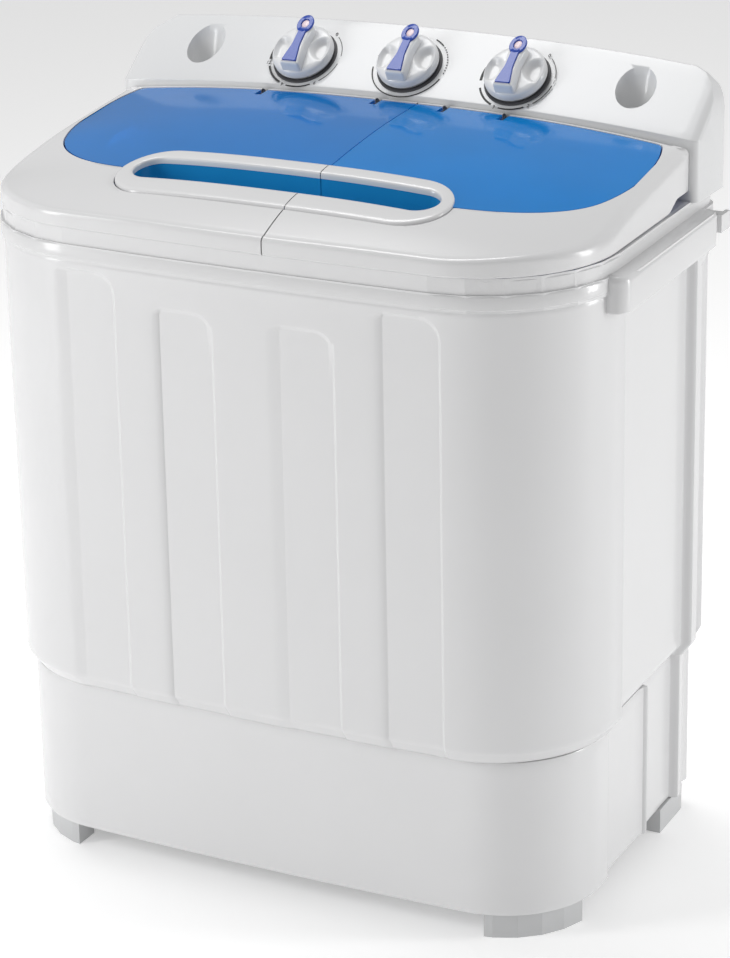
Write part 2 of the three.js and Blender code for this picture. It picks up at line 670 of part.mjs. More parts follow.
function makeConsole() {
  let cover = consoleBlock(0).subtract(consoleBlock(WALL));
  cover = cover.subtract(solid(sweptX(shoulder(GAP), [-HALF, HALF])));
  for (const x of [-KNOB_PITCH, 0, KNOB_PITCH]) {
    const hole = new THREE.CylinderGeometry(SHAFT_R + 1.5, SHAFT_R + 1.5, 30, 20).rotateX(Math.PI / 2);
    cover = cover.subtract(solid(hole.applyMatrix4(panelMatrix(x))));
  }
  for (const side of [-1, 1]) {
    const x = side * INLET_X;
    cover = cover.subtract(drum(x, INLET_Y, [FRAME_TOP + 30, CONSOLE_TOP + 20], INLET_R + WALL + GAP));
  }
  add("console_cover", cover, PLASTIC);
}

// A cup sunk upright into the panel, with the hose nozzle at its bottom and a pipe on to the tub.
function makeInlet(name, side) {
  const x = side * INLET_X;
  const lip = panelHeight(x, INLET_Y);
  const floor = lip - INLET_DEPTH;
  const cup = turned(
    [
      [NOZZLE_R - 2, floor - WALL],
      [INLET_R - 3, floor - WALL],
      [INLET_R + WALL, lip + 2],
      [INLET_R + WALL, lip + 25],
      [INLET_R, lip + 25],
      [INLET_R, lip + 2],
      [INLET_R - 6, floor],
      [NOZZLE_R, floor],
      [NOZZLE_R, floor + 7],
      [NOZZLE_R - 2, floor + 7],
    ],
    x,
    INLET_Y,
    16,
  );
  // Trimmed to the panel's own slope.
  const above = sweptX(
    [
      [CONSOLE_FRONT - 40, PANEL_FOOT - 40 * Math.tan(PANEL_TILT)],
      [BACK + 40, PANEL_FOOT + (BACK + 40 - CONSOLE_FRONT) * Math.tan(PANEL_TILT)],
      [BACK + 40, CONSOLE_TOP + 90],
      [CONSOLE_FRONT - 40, CONSOLE_TOP + 90],
    ],
    [x - 30, x + 30],
    3,
  );
  shaped(above, (px, py, pz) => (pz > CONSOLE_TOP + 80 ? [px, py, pz] : [px, py, pz - consoleCrown(px)]));
  const spout = pipe(x, INLET_Y, [FRAME_TOP - 26, floor - WALL + 0.5], SPOUT_R, SPOUT_R - SPOUT_WALL, 10);
  add(name, cup.subtract(solid(above)).add(spout), GREY);
}


function makeControls(name, switchName, knobName, pointerName, x, casing) {
  const group = panelGroup(x);
  const under = -WALL - 1;
  add(switchName, union(casing(under), drum(0, 0, [under - 4, 2], SHAFT_R + 1, 16)).subtract(
    drum(0, 0, [under - 6, 3], SHAFT_R + GAP, 16)), GREY, group);
  const bar = rounded([[-7.5, -21, 6], [7.5, -21, 6], [6, 24, 5.5], [-6, 24, 5.5]]);
  const knob = union(
    turned(
      [
        [0, 3.2],
        [KNOB_R - 1.5, 3.2],
        [KNOB_R, 5],
        [KNOB_R - 1, KNOB_RISE + 2],
        [KNOB_R - 4, KNOB_RISE + 4],
        [0, KNOB_RISE + 5],
      ],
    ),
    prism(bar, [KNOB_RISE, GRIP_BAR_TOP], 2),
    drum(0, 0, [under - 2, 4], SHAFT_R, 16),
  );
  add(knobName, knob, PLASTIC, group);
  const inlay = [GRIP_BAR_TOP + GAP, GRIP_BAR_TOP + 2];
  const head = new THREE.Shape().absarc(0, 20, 6.5, 0, Math.PI * 2, false);
  head.holes.push(new THREE.Path().absellipse(0, 20.5, 3, 3.9, 0, Math.PI * 2, true));
  const tail = rounded(
    [[-5.8, -19.5, 1], [5.8, -19.5, 1], [2.6, 2, 8], [2.6, 15.5, 0.5], [-2.6, 15.5, 0.5], [-2.6, 2, 8]],
  );
  add(pointerName, prism(head, inlay, 4).add(prism(tail, inlay, 1)), BLUE, group);
}

// ---------------------------------------------------------------- lids
// Height of the lids' upper surface above LID_BOTTOM, from the front edge to the back.
const lidStations = [
  [FRONT, LID_EDGE - 3],
  [FRONT + 2.5, LID_EDGE],
  [FRONT + 39, LID_EDGE + 15],
  [FRONT + 104, LID_EDGE + 28],
  [LID_REAR - 60, LID_BACK_RISE - 4],
];

function lidCrown(x, y) {
  const grown = THREE.MathUtils.clamp((y - FRONT) / 100, 0, 1);
  return LID_CROWN * grown * Math.pow(Math.abs(x) / HALF, 2.5);
}

// The solid under the lids' upper surface, sunk by a depth. With a reach it runs on past the lids on
// every side but X, which makes it a cutter.
function lidBody(depth, reach = 0) {
  const arc = [];
  for (let i = 0; i <= 3; i++) {
    const angle = (Math.PI / 2) * (1 - i / 3);
    arc.push([HINGE_Y + HINGE_R * Math.cos(angle), LID_BACK_RISE - HINGE_DROP * (1 - Math.sin(angle))]);
  }
  const points = lidStations.concat(arc).map(([y, z]) => [y, z - depth]);
  const [firstZ, lastZ] = [points[0][1], points[points.length - 1][1]];
  if (reach > 0) {
    points.unshift([FRONT - reach, firstZ]);
    points.push([LID_REAR + reach, lastZ], [LID_REAR + reach, -reach], [FRONT - reach, -reach]);
  } else {
    points.push([LID_REAR, 7], [HINGE_Y - 8, 7], [HINGE_Y - 24, 0], [FRONT, 0]);
  }
  const placed = points.map(([y, z]) => [y, LID_BOTTOM + z]);
  const geometry = sweptX(placed, [-HALF, HALF], 8);
  const base = LID_BOTTOM + (reach > 0 ? 1 - reach : 7.5);
  shaped(geometry, (x, y, z) => {
    const across = HALF * Math.sin((Math.PI / 2) * (x / HALF));
    return [across, y, z > base ? z - lidCrown(across, y) : z];
  });
  return solid(geometry);
}


// What lies between two depths under the upper surface.
function layer(top, bottom) {
  return lidBody(top).subtract(lidBody(bottom, LID_REACH));
}

function windowPlan(grow) {
  const rear = HINGE_Y - WINDOW_REAR_MARGIN + grow;
  const right = [
    [HALF - WINDOW_SIDE_MARGIN - 13 + grow, rear, 8],
    [HALF - WINDOW_SIDE_MARGIN + grow, HINGE_Y - 60, 60],
    [HALF - WINDOW_SIDE_MARGIN - 23 + grow, FRONT + WINDOW_FRONT_MARGIN + 13 - grow, 62],
    [HALF - WINDOW_SIDE_MARGIN - 125, FRONT + WINDOW_FRONT_MARGIN - grow, 30],
  ];
  const left = right.map(([x, y, radius]) => [-x, y, radius]).reverse();
  return rounded(right.concat(left));
}

function racetrack(half, [y0, y1]) {
  const r = (y1 - y0) / 2 - 0.01;
  return rounded([[-half, y0, r], [half, y0, r], [half, y1, r], [-half, y1, r]]);
}

function makeLids() {
  const tall = [LID_BOTTOM - 5, LID_BOTTOM + LID_BACK_RISE + 20];
  const outline = (inset) => prism(cabinetPlan(HALF - 4, FRONT, BODY_CORNER + 4, inset), tall, 3);
  const gripY = [FRONT + GRIP_SETBACK, FRONT + GRIP_SETBACK + GRIP_WIDTH];
  const grip = (grow) => prism(
    racetrack(GRIP_LENGTH / 2 + grow, [gripY[0] - grow, gripY[1] + grow]),
    tall,
    3,
  );
  const bowl = (grow) =>
    prism(
      racetrack(
        GRIP_LENGTH / 2 - GRIP_RIM_BACK + grow,
        [gripY[0] + GRIP_RIM_FRONT - grow, gripY[1] - GRIP_RIM_BACK + grow],
      ),
      tall,
      3,
    );
  const window = (grow) => prism(windowPlan(grow), tall, 3);
  const opening = (grow) => window(grow).add(grip(grow));

  const edge = outline(0);
  const sheet = layer(0, LID_SHEET).intersect(edge);
  const skirt = lidBody(0).intersect(edge).subtract(outline(WALL));
  const rearWall = lidBody(0).intersect(edge).intersect(box(
    [-HALF, HALF],
    [LID_REAR - WALL, LID_REAR + 5],
    tall,
  ));
  const ledge = layer(0, LID_LEDGE).intersect(opening(5)).intersect(edge);
  const lowered = RING_SEAT + WINDOW_SHEET;
  // The window turns down in a step all round the grip.
  const step = (grow) => grip(3 + grow).intersect(window(grow));
  const paneRoom = window(GAP).subtract(lidBody(WINDOW_SHEET + GAP, LID_REACH));
  const seatRoom = grip(GAP).add(step(GAP)).subtract(lidBody(lowered + GAP, LID_REACH));
  const frame = union(
    sheet,
    skirt,
    rearWall,
    ledge,
  ).subtract(opening(-5)).subtract(paneRoom).subtract(seatRoom);

  const pane = layer(0, WINDOW_SHEET).intersect(window(0).subtract(grip(GAP)));
  const stepWall = layer(0, lowered).intersect(step(0).subtract(grip(GAP)));
  const seat = layer(RING_SEAT, lowered).intersect(grip(-GAP).add(step(0)).subtract(bowl(0)));
  const well = layer(RING_SEAT, BOWL_DEPTH + WINDOW_SHEET)
    .intersect(bowl(WINDOW_SHEET))
    .subtract(bowl(0).subtract(lidBody(BOWL_DEPTH, LID_REACH)));
  const glazing = union(pane, stepWall, seat, well);
  const ring = layer(-RING_RISE, RING_SEAT - GAP).intersect(grip(-GAP).subtract(bowl(-0.5)));

  const halves = [
    ["wash_lid", [-HALF - 5, SPLIT_X - GAP], HINGE_PLACES.slice(0, 2)],
    ["spin_lid", [SPLIT_X + GAP, HALF + 5], HINGE_PLACES.slice(2)],
  ];
  for (const [name, span, hinges] of halves) {
    const part = box(span, [FRONT - 10, BACK], tall);
    let lid = frame.intersect(part);
    for (const x of hinges) {
      const lug0 = x + HINGE_POST / 2 + 1;
      const lug = box(
        [lug0, lug0 + HINGE_LUG],
        [HINGE_Y - 5.5, HINGE_Y + 5.5],
        [HINGE_Z - 5.5, HINGE_Z + HINGE_DROP],
      );
      const room = [x - HINGE_POST / 2 - 1, lug0 - 0.5];
      lid = lid.add(lug.intersect(lidBody(0)));
      lid = lid.subtract(pin([lug0 - 1, lug0 + HINGE_LUG + 1], HINGE_Y, HINGE_Z, HINGE_PIN_R + GAP));
      lid = lid.subtract(pin(room, HINGE_Y, HINGE_Z, HINGE_ROOM));
      lid = lid.subtract(
        box(room, [HINGE_Y - HINGE_ROOM, HINGE_Y + HINGE_ROOM], [LID_BOTTOM - 2, HINGE_Z]),
      );
      lid = lid.subtract(box(room, [HINGE_Y + 3, LID_REAR + 2], tall));
    }
    if (name === "spin_lid") {
      const striker = box(
        [SWITCH_X - 2, SWITCH_X + 2],
        [SWITCH_Y - 3, SWITCH_Y + 3],
        [BUTTON_TOP + SLIDE_GAP, tall[1]],
      );
      lid = lid.add(striker.intersect(lidBody(0)));
      // The back wall stays clear of the switch as the lid swings.
      const path = [SWITCH_X - SWITCH_HALF_X - 2, SWITCH_X + SWITCH_HALF_X + 2];
      const behind = box(path, [HINGE_Y + 1, LID_REAR + 5], [LID_BOTTOM - 2, HINGE_Z]);
      lid = lid.subtract(behind.subtract(pin(path, HINGE_Y, HINGE_Z, SWITCH_CLEAR_R, 24)));
    }
    add(name + "_frame", lid, PLASTIC);
    add(name + "_window", glazing.intersect(part), BLUE_CLEAR);
    add(name + "_grip", ring.intersect(part), PLASTIC);
  }
}

// ---------------------------------------------------------------- tubs
function makeWashTub() {
  const corners = (inset) => {
    const [x0, x1] = [WASH_LEFT + inset, WASH_RIGHT - inset];
    const [y0, y1] = [WASH_FRONT + inset, WASH_BACK - inset];
    return rounded([
      [x0, y0, BODY_CORNER - 14 - inset],
      [x1, y0, 40 - inset],
      [x1, y1, 40 - inset],
      [x0, y1, 40 - inset],
    ]);
  };
  const outer = prism(corners(0), [TUB_FLOOR, TUB_TOP]);
  const inner = prism(corners(WALL), [TUB_FLOOR + WALL, TUB_TOP + 1]);
  let tub = outer.subtract(inner);
  tub = tub.subtract(drum(WASH_X, WASH_Y, [TUB_FLOOR - 1, TUB_FLOOR + WALL + 1], WASH_SHAFT_R + 5));
  tub = tub.subtract(drum(WASH_DRAIN_X, WASH_DRAIN_Y, [TUB_FLOOR - 1, TUB_FLOOR + WALL + 1], 10));
  // Two upright ribs on the left wall turn the water over.
  for (const y of [WASH_Y - 30, WASH_Y + 30]) {
    tub = tub.add(
      roundedBox([WASH_LEFT + 1, WASH_LEFT + 12], [y - 7, y + 7], [TUB_FLOOR + 1, TUB_TOP - 60], 4, 3),
    );
  }
  add("wash_tub", tub, PLASTIC);
}


function makePulsator() {
  const z = PULSATOR_Z;
  const dish = turned(
    [
      [0, z],
      [PULSATOR_R, z],
      [PULSATOR_R, z + 6],
      [PULSATOR_R - 5, z + 9],
      [PULSATOR_R * 0.4, z + 11],
      [24, z + 20],
      [0, z + 24],
    ],
    WASH_X,
    WASH_Y,
    20,
  );
  const fins = [];
  for (let i = 0; i < 3; i++) {
    const run = PULSATOR_R - 12;
    const fin = new THREE.ExtrudeGeometry(rounded(
      [[4, z + 4, 0], [run, z + 4, 0], [run - 4, z + 15, 3], [26, z + 27, 10], [4, z + 27, 0]],
    ), {
      depth: 9,
      bevelEnabled: false,
      curveSegments: 2,
    });
    fin.translate(0, 0, -4.5).rotateX(Math.PI / 2).rotateZ((i * 2 * Math.PI) / 3 + 0.4).translate(WASH_X, WASH_Y, 0);
    fins.push(solid(fin));
  }
  const bore = drum(WASH_X, WASH_Y, [z - 1, z + 14], WASH_SHAFT_R + GAP);
  add("pulsator", union(dish, ...fins).subtract(bore), PLASTIC);
}

function makeWashDrive() {
  const top = TUB_FLOOR - GAP;
  const gearbox = turned(
    [
      [WASH_SHAFT_R + GAP, top - 58],
      [30, top - 58],
      [42, top - 48],
      [42, top - 12],
      [20, top - 4],
      [62, top - 4],
      [62, top],
      [WASH_SHAFT_R + GAP, top],
    ],
    WASH_X,
    WASH_Y,
    24,
  );
  add("gearbox", gearbox, MOTOR);
  add("pulsator_shaft", drum(WASH_X, WASH_Y, [PULLEY_Z, PULSATOR_Z + 13], WASH_SHAFT_R, 24), STEEL);
  add("drive_pulley", pulley(WASH_X, WASH_Y, BIG_PULLEY_R, WASH_SHAFT_R + GAP), GREY);
  add("motor_pulley", pulley(MOTOR_X, MOTOR_Y, SMALL_PULLEY_R, MOTOR_SHAFT_R + GAP), STEEL);
  add(
    "motor_shaft",
    drum(MOTOR_X, MOTOR_Y, [PULLEY_Z - 36, PULLEY_Z + PULLEY_T + 3], MOTOR_SHAFT_R, 16),
    STEEL,
  );
  const [low, high] = [SKIRT_FLOOR + GAP, PULLEY_Z - 6];
  const casing = turned(
    [
      [MOTOR_SHAFT_R + GAP, low + 14],
      [WASH_MOTOR_R - 6, low + 14],
      [WASH_MOTOR_R, low + 22],
      [WASH_MOTOR_R, high - 14],
      [WASH_MOTOR_R - 8, high - 8],
      [18, high - 6],
      [14, high],
      [MOTOR_SHAFT_R + GAP, high],
    ],
    MOTOR_X,
    MOTOR_Y,
    18,
  );
  const legs = [];
  for (let i = 0; i < 3; i++) {
    const angle = (i * 2 * Math.PI) / 3 + 0.5;
    legs.push(
      drum(MOTOR_X + 32 * Math.cos(angle), MOTOR_Y + 32 * Math.sin(angle), [low, low + 20], 5, 14),
    );
  }
  add("wash_motor", union(casing, ...legs), MOTOR);
  add("drive_belt", belt(), RUBBER);
}


function pulley(x, y, r, bore) {
  const z = PULLEY_Z;
  return turned(
    [
      [bore, z],
      [r, z],
      [r, z + 1.5],
      [r - 4, z + 5],
      [r - 4, z + 7],
      [r, z + 10.5],
      [r, z + PULLEY_T],
      [bore, z + PULLEY_T],
    ],
    x,
    y,
    r > 30 ? 24 : 14,
  );
}

// The belt runs round both pulleys: two arcs and their outer tangents.
function belt() {
  const path = (offset) => {
    const apart = Math.hypot(MOTOR_X - WASH_X, MOTOR_Y - WASH_Y);
    const toMotor = Math.atan2(MOTOR_Y - WASH_Y, MOTOR_X - WASH_X);
    const [big, small] = [BIG_PULLEY_R - 4 + offset, SMALL_PULLEY_R - 4 + offset];
    const wrap = Math.acos((big - small) / apart);
    const shape = new THREE.Shape();
    shape.absarc(WASH_X, WASH_Y, big, toMotor + wrap, toMotor - wrap + 2 * Math.PI, false);
    shape.absarc(MOTOR_X, MOTOR_Y, small, toMotor - wrap, toMotor + wrap, false);
    return shape;
  };
  const span = [PULLEY_Z + 5.2, PULLEY_Z + 6.8];
  return prism(path(3.4), span, 9).subtract(prism(path(0.8), [span[0] - 1, span[1] + 1], 9));
}

function makeSpinTub() {
  const [r, z] = [SPIN_TUB_R, TUB_FLOOR];
  let tub = turned(
    [
      [r - WALL, TUB_TOP],
      [r, TUB_TOP],
      [r, z],
      [SEAL_R, z],
      [SEAL_R, z + WALL],
      [r - WALL - 10, z + WALL],
      [r - WALL, z + WALL + 10],
    ],
    SPIN_X,
    SPIN_Y,
    24,
  );
  tub = tub.subtract(drum(SPIN_X - 60, SPIN_Y + 40, [z - 1, z + WALL + 1], 10));
  add("spin_outer_tub", tub, PLASTIC);
  const neck = turned(
    [
      [SPIN_SHAFT_R + 1, z - 30],
      [SPIN_SHAFT_R + 4, z - 30],
      [SPIN_SHAFT_R + 6, z - 22],
      [SPIN_SHAFT_R + 12, z - 18],
      [SPIN_SHAFT_R + 6, z - 14],
      [SPIN_SHAFT_R + 12, z - 10],
      [SPIN_SHAFT_R + 8, z - 6],
      [SEAL_R + 7, z - 4],
      [SEAL_R + 7, z - GAP],
      [SPIN_SHAFT_R + 6, z - GAP],
      [SPIN_SHAFT_R + 3, z - 12],
      [SPIN_SHAFT_R + 1, z - 24],
    ],
    SPIN_X,
    SPIN_Y,
    14,
  );
  add("bellows_seal", neck, RUBBER);
}


function makeSpinBasket() {
  const [r, z] = [BASKET_R, BASKET_Z];
  const top = z + BASKET_HEIGHT;
  let basket = turned(
    [
      [SPIN_SHAFT_R + GAP, z],
      [r - 8, z],
      [r, z + 10],
      [r, top - 8],
      [r + 3, top - 6],
      [r + 3, top],
      [r - 10, top],
      [r - 10, top - 3],
      [r - 2.2, top - 6],
      [r - 2.2, z + 12],
      [r - 10, z + 3],
      [34, z + 3],
      [20, z + 46],
      [SPIN_SHAFT_R + GAP, z + 46],
    ],
    SPIN_X,
    SPIN_Y,
    24,
  );
  const slots = [];
  for (let row = 0; row < 2; row++) {
    for (let i = 0; i < 8; i++) {
      const slot = new THREE.BoxGeometry(12, 6, 26);
      slot.translate(r, 0, z + 75 + row * 80).rotateZ(((i + row / 2) * 2 * Math.PI) / 8).translate(SPIN_X, SPIN_Y, 0);
      slots.push(solid(slot));
    }
  }
  basket = basket.subtract(union(...slots));
  add("spin_basket", basket, PLASTIC);
  let cover = turned(
    [
      [0, top - 2],
      [r - 12, top - 2],
      [r - 12, top + GAP],
      [r - 2, top + GAP],
      [r - 2, top + 3],
      [0, top + 3],
    ],
    SPIN_X,
    SPIN_Y,
    24,
  );
  for (let i = 0; i < 6; i++) {
    const angle = (i * Math.PI) / 3;
    cover = cover.subtract(
      drum(SPIN_X + 46 * Math.cos(angle), SPIN_Y + 46 * Math.sin(angle), [top - 5, top + 6], 9, 8),
    );
  }
  add("spin_safety_cover", cover, BLUE_CLEAR);
  add("spin_shaft", drum(SPIN_X, SPIN_Y, [SPIN_MOTOR_Z[1] - 20, z + 44], SPIN_SHAFT_R, 24), STEEL);
  const [d0, d1] = DRUM_Z;
  add(
    "brake_drum",
    turned(
      [
        [SPIN_SHAFT_R + GAP, d0],
        [DRUM_R, d0],
        [DRUM_R, d1],
        [DRUM_R - 4, d1],
        [DRUM_R - 4, d0 + 4],
        [16, d0 + 4],
        [16, d1 - 4],
        [SPIN_SHAFT_R + GAP, d1 - 4],
      ],
      SPIN_X,
      SPIN_Y,
      24,
    ),
    STEEL,
  );
}


function makeSpinDrive() {
  const [low, high] = SPIN_MOTOR_Z;
  const r = SPIN_MOTOR_R;
  const casing = turned(
    [
      [SPIN_SHAFT_R + GAP, low + 4],
      [14, low],
      [r - 8, low],
      [r, low + 10],
      [r, high - 14],
      [r - 10, high - 5],
      [20, high - 4],
      [16, high],
      [SPIN_SHAFT_R + GAP, high],
    ],
    SPIN_X,
    SPIN_Y,
    20,
  );
  add("spin_motor", casing, MOTOR);
  const arms = [];
  const places = [0, 1, 2].map((i) => {
    const angle = (i * 2 * Math.PI) / 3 + Math.PI / 2;
    return [SPIN_X + SPRING_SPREAD * Math.cos(angle), SPIN_Y + SPRING_SPREAD * Math.sin(angle)];
  });
  for (const [x, y] of places) arms.push(drum(x, y, [PLATE_Z, PLATE_Z + 3], 16, 12));
  const plate = union(drum(SPIN_X, SPIN_Y, [PLATE_Z, PLATE_Z + 3], SPRING_SPREAD - 4, 20), ...arms);
  add("motor_plate", plate.subtract(drum(SPIN_X, SPIN_Y, [PLATE_Z - 1, PLATE_Z + 4], 20)), STEEL);
  places.forEach(
    ([x, y], i) => add("suspension_spring_" + (i + 1), coil(x, y, SKIRT_FLOOR + GAP, SPRING_H), STEEL),
  );
}

// A compression spring with closed ends, as one swept wire on two end rings.
function coil(x, y, z, height) {
  const [turns, radius, wire] = [2, 10, 1.8];
  const points = [];
  const steps = 12;
  for (let i = 0; i <= steps; i++) {
    const angle = (i / steps) * turns * 2 * Math.PI;
    const rise = wire + ((height - 2 * wire) * i) / steps;
    points.push(new THREE.Vector3(x + radius * Math.cos(angle), y + radius * Math.sin(angle), z + rise));
  }
  const section = new THREE.Shape().absarc(0, 0, wire, 0, Math.PI * 2, false);
  const options = {
    extrudePath: new THREE.CatmullRomCurve3(points),
    steps,
    curveSegments: 2,
    bevelEnabled: false,
  };
  const ends = [z, z + height - wire].map(
    (low) => pipe(x, y, [low, low + wire], radius + wire, radius - wire, 8),
  );
  return union(solid(new THREE.ExtrudeGeometry(section, options)), ...ends);
}

// ---------------------------------------------------------------- brake, valve, filter, switch

function makeBrake() {
  const [d0, d1] = DRUM_Z;
  const [z0, z1] = [d0 + 6, d1 - 6];
  const pivot = [SPIN_X + 46, LEVER_Y];
  const lever = union(
    drum(...pivot, [z0, z1], 7, 20),
    box([SPIN_X - 52, SPIN_X + 46], [LEVER_Y - 3, LEVER_Y + 3], [z0, z1]),
    box([SPIN_X - 16, SPIN_X + 16], [SPIN_Y + DRUM_R + 2.5, LEVER_Y], [z0 - 2, z1 + 2]),
  ).subtract(drum(SPIN_X, SPIN_Y, [z0 - 4, z1 + 4], DRUM_R + 2, 36));
  const bore = drum(...pivot, [z0 - 1, z1 + 1], 3.3, 16);
  add("brake_lever", lever.subtract(bore), STEEL);
  const post = union(
    drum(...pivot, [z1 + 2, TUB_FLOOR - GAP], 6, 16),
    drum(...pivot, [z0 - 3, z1 + 3], 3, 16),
  );
  add("brake_post", post.add(drum(...pivot, [z0 - 4, z0 - 1], 6, 16)), STEEL);
}

function makeDrainValve() {
  const [x, y] = [WASH_DRAIN_X, WASH_DRAIN_Y];
  const top = TUB_FLOOR - GAP;
  const chest = turned(
    [
      [20, top - 44],
      [23, top - 44],
      [23, top - 3],
      [28, top - 3],
      [28, top],
      [9, top],
      [9, top - 4],
      [20, top - 4],
    ],
    x,
    y,
    16,
  );
  const outletY = BACK - WALL - 2;
  const route = new THREE.CatmullRomCurve3([
    new THREE.Vector3(x + 21, y, top - 30),
    new THREE.Vector3(x + 45, y + 6, top - 40),
    new THREE.Vector3(DRAIN_X - 30, outletY - 34, DRAIN_Z + 50),
    new THREE.Vector3(DRAIN_X - 3, outletY - 26, DRAIN_Z + 8),
    new THREE.Vector3(DRAIN_X, outletY, DRAIN_Z),
    new THREE.Vector3(DRAIN_X, BACK + 2, DRAIN_Z),
  ]);
  const ring = (outer) => new THREE.Shape().absarc(0, 0, outer, 0, Math.PI * 2, false);
  const run = (outer) => solid(
    new THREE.ExtrudeGeometry(
      ring(outer),
      { extrudePath: route, steps: 12, curveSegments: 3, bevelEnabled: false },
    ),
  );
  const cavity = drum(x, y, [top - 50, top - 4], 20, 28);
  add("drain_valve", chest.subtract(run(8.6)), GREY);
  add(
    "drain_pipe",
    run(8.2).subtract(run(6.4)).subtract(cavity).subtract(drum(x, y, [top - 60, top + 2], 20.5)),
    RUBBER,
  );
  add(
    "drain_plunger",
    turned(
      [
        [0, top - 53],
        [4, top - 53],
        [4, top - 21],
        [15, top - 17],
        [15, top - 4.6],
        [6, top - 4.6],
        [6, top + 1],
        [0, top + 1],
      ],
      x,
      y,
      14,
    ),
    GREY,
  );
}

function makeFittings() {
  // Lint filter on the back wall of the wash tub.
  const x = WASH_X + 40;
  const y = WASH_BACK - WALL - GAP;
  const tray = roundedBox([x - 34, x + 34], [y - 22, y], [TUB_TOP - 150, TUB_TOP - 40], 6, 4);
  const inside = roundedBox([x - 31, x + 31], [y - 19, y - 3], [TUB_TOP - 147, TUB_TOP - 30], 4, 4);
  let filter = tray.subtract(inside);
  for (let i = 0; i < 6; i++) {
    const z = TUB_TOP - 138 + i * 15;
    filter = filter.subtract(box([x - 24, x + 24], [y - 24, y - 17], [z, z + 7]));
  }
  add("lint_filter", filter, BLUE_CLEAR);
  // Capacitor and the gland where the mains lead leaves.
  const capX = SPLIT_X - 6;
  add(
    "motor_capacitor",
    roundedBox(
      [capX - 24, capX + 24],
      [BACK - 46, BACK - 14],
      [SKIRT_FLOOR + GAP, SKIRT_BOTTOM + 60],
      6,
      4,
    ),
    GREY,
  );
  const gland = stud(GLAND_X, [BACK - 8, BACK + GAP], DRAIN_Z, GLAND_R).add(
    stud(GLAND_X, [BACK + GAP, DEPTH / 2], DRAIN_Z, GLAND_R + 4),
  );
  add(
    "cord_gland",
    gland.add(stud(GLAND_X, [BACK - 12, BACK - 5], DRAIN_Z, GLAND_R - 1)).subtract(stud(
      GLAND_X,
      [BACK - 20, DEPTH],
      DRAIN_Z,
      3.6,
    )),
    RUBBER,
  );
  // Lid switch: a housing on the deck and the button that the closed spin lid holds down.
  const [sx, sy] = [SWITCH_X, SWITCH_Y];
  const deck = FRAME_TOP + GAP;
  const housing = box(
    [sx - SWITCH_HALF_X, sx + SWITCH_HALF_X],
    [sy - 6, sy + 6],
    [deck, deck + 18],
  ).subtract(
    drum(sx, sy, [deck + 6, deck + 20], 3 + GAP, 16),
  );
  add("lid_switch", housing, RUBBER);
  add("lid_switch_button", drum(sx, sy, [deck + 7, BUTTON_TOP], 3, 12), GREY);
}

makeFeet();
makeSkirt();
makeBody();
makeRearPanel();
makeTopFrame();
makeConsole();
makeInlet("inlet_cup_wash", -1);
makeInlet("inlet_cup_spin", 1);
const clockwork = (z) => drum(0, 0, [z - 18, z - 1], 19).add(box([-25, 25], [-8, 8], [z - 4, z - 1]));
const switchBox = (z) => roundedBox([-22, 22], [-16, 16], [z - 18, z - 1], 4, 2);
makeControls("wash", "wash_timer", "wash_knob", "wash_pointer", -KNOB_PITCH, clockwork);
makeControls("selector", "selector_switch", "selector_knob", "selector_pointer", 0, switchBox);
makeControls("spin", "spin_timer", "spin_knob", "spin_pointer", KNOB_PITCH, clockwork);
makeLids();
makeWashTub();
makePulsator();
makeWashDrive();
makeSpinTub();
makeSpinBasket();
makeSpinDrive();
makeBrake();
makeDrainValve();
makeFittings();

export default machine;
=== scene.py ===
"""Looks for the twin tub washer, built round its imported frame.

Metres, +Z up, the front faces -Y. The moulded skins, lids, console and knobs are smooth pieces that stand
for the CAD nodes; the works inside keep their CAD shapes and get materials."""
import json
import math

import bmesh
import bpy
from mathutils import Matrix, Vector


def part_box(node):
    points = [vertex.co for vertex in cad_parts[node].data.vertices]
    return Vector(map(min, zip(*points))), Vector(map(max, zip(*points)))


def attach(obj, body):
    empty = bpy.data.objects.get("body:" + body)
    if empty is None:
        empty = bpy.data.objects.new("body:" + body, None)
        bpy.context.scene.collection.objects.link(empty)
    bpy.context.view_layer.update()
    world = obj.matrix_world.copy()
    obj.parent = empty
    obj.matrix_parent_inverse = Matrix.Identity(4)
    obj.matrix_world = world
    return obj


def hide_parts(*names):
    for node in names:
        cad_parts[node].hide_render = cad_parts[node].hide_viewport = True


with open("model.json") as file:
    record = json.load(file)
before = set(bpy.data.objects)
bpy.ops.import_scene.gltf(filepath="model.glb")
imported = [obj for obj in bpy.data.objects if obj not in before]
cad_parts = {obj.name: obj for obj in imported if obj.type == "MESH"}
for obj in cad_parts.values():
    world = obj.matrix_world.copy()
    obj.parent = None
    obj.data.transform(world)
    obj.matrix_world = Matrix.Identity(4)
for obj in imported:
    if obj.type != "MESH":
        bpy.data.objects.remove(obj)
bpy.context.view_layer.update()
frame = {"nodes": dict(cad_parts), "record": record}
NODES = frame["nodes"]
MM = 0.001

# ---------------------------------------------------------------- sizes, in millimetres


def node_box(name):
    low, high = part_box(name)
    return [v / MM for v in low], [v / MM for v in high]


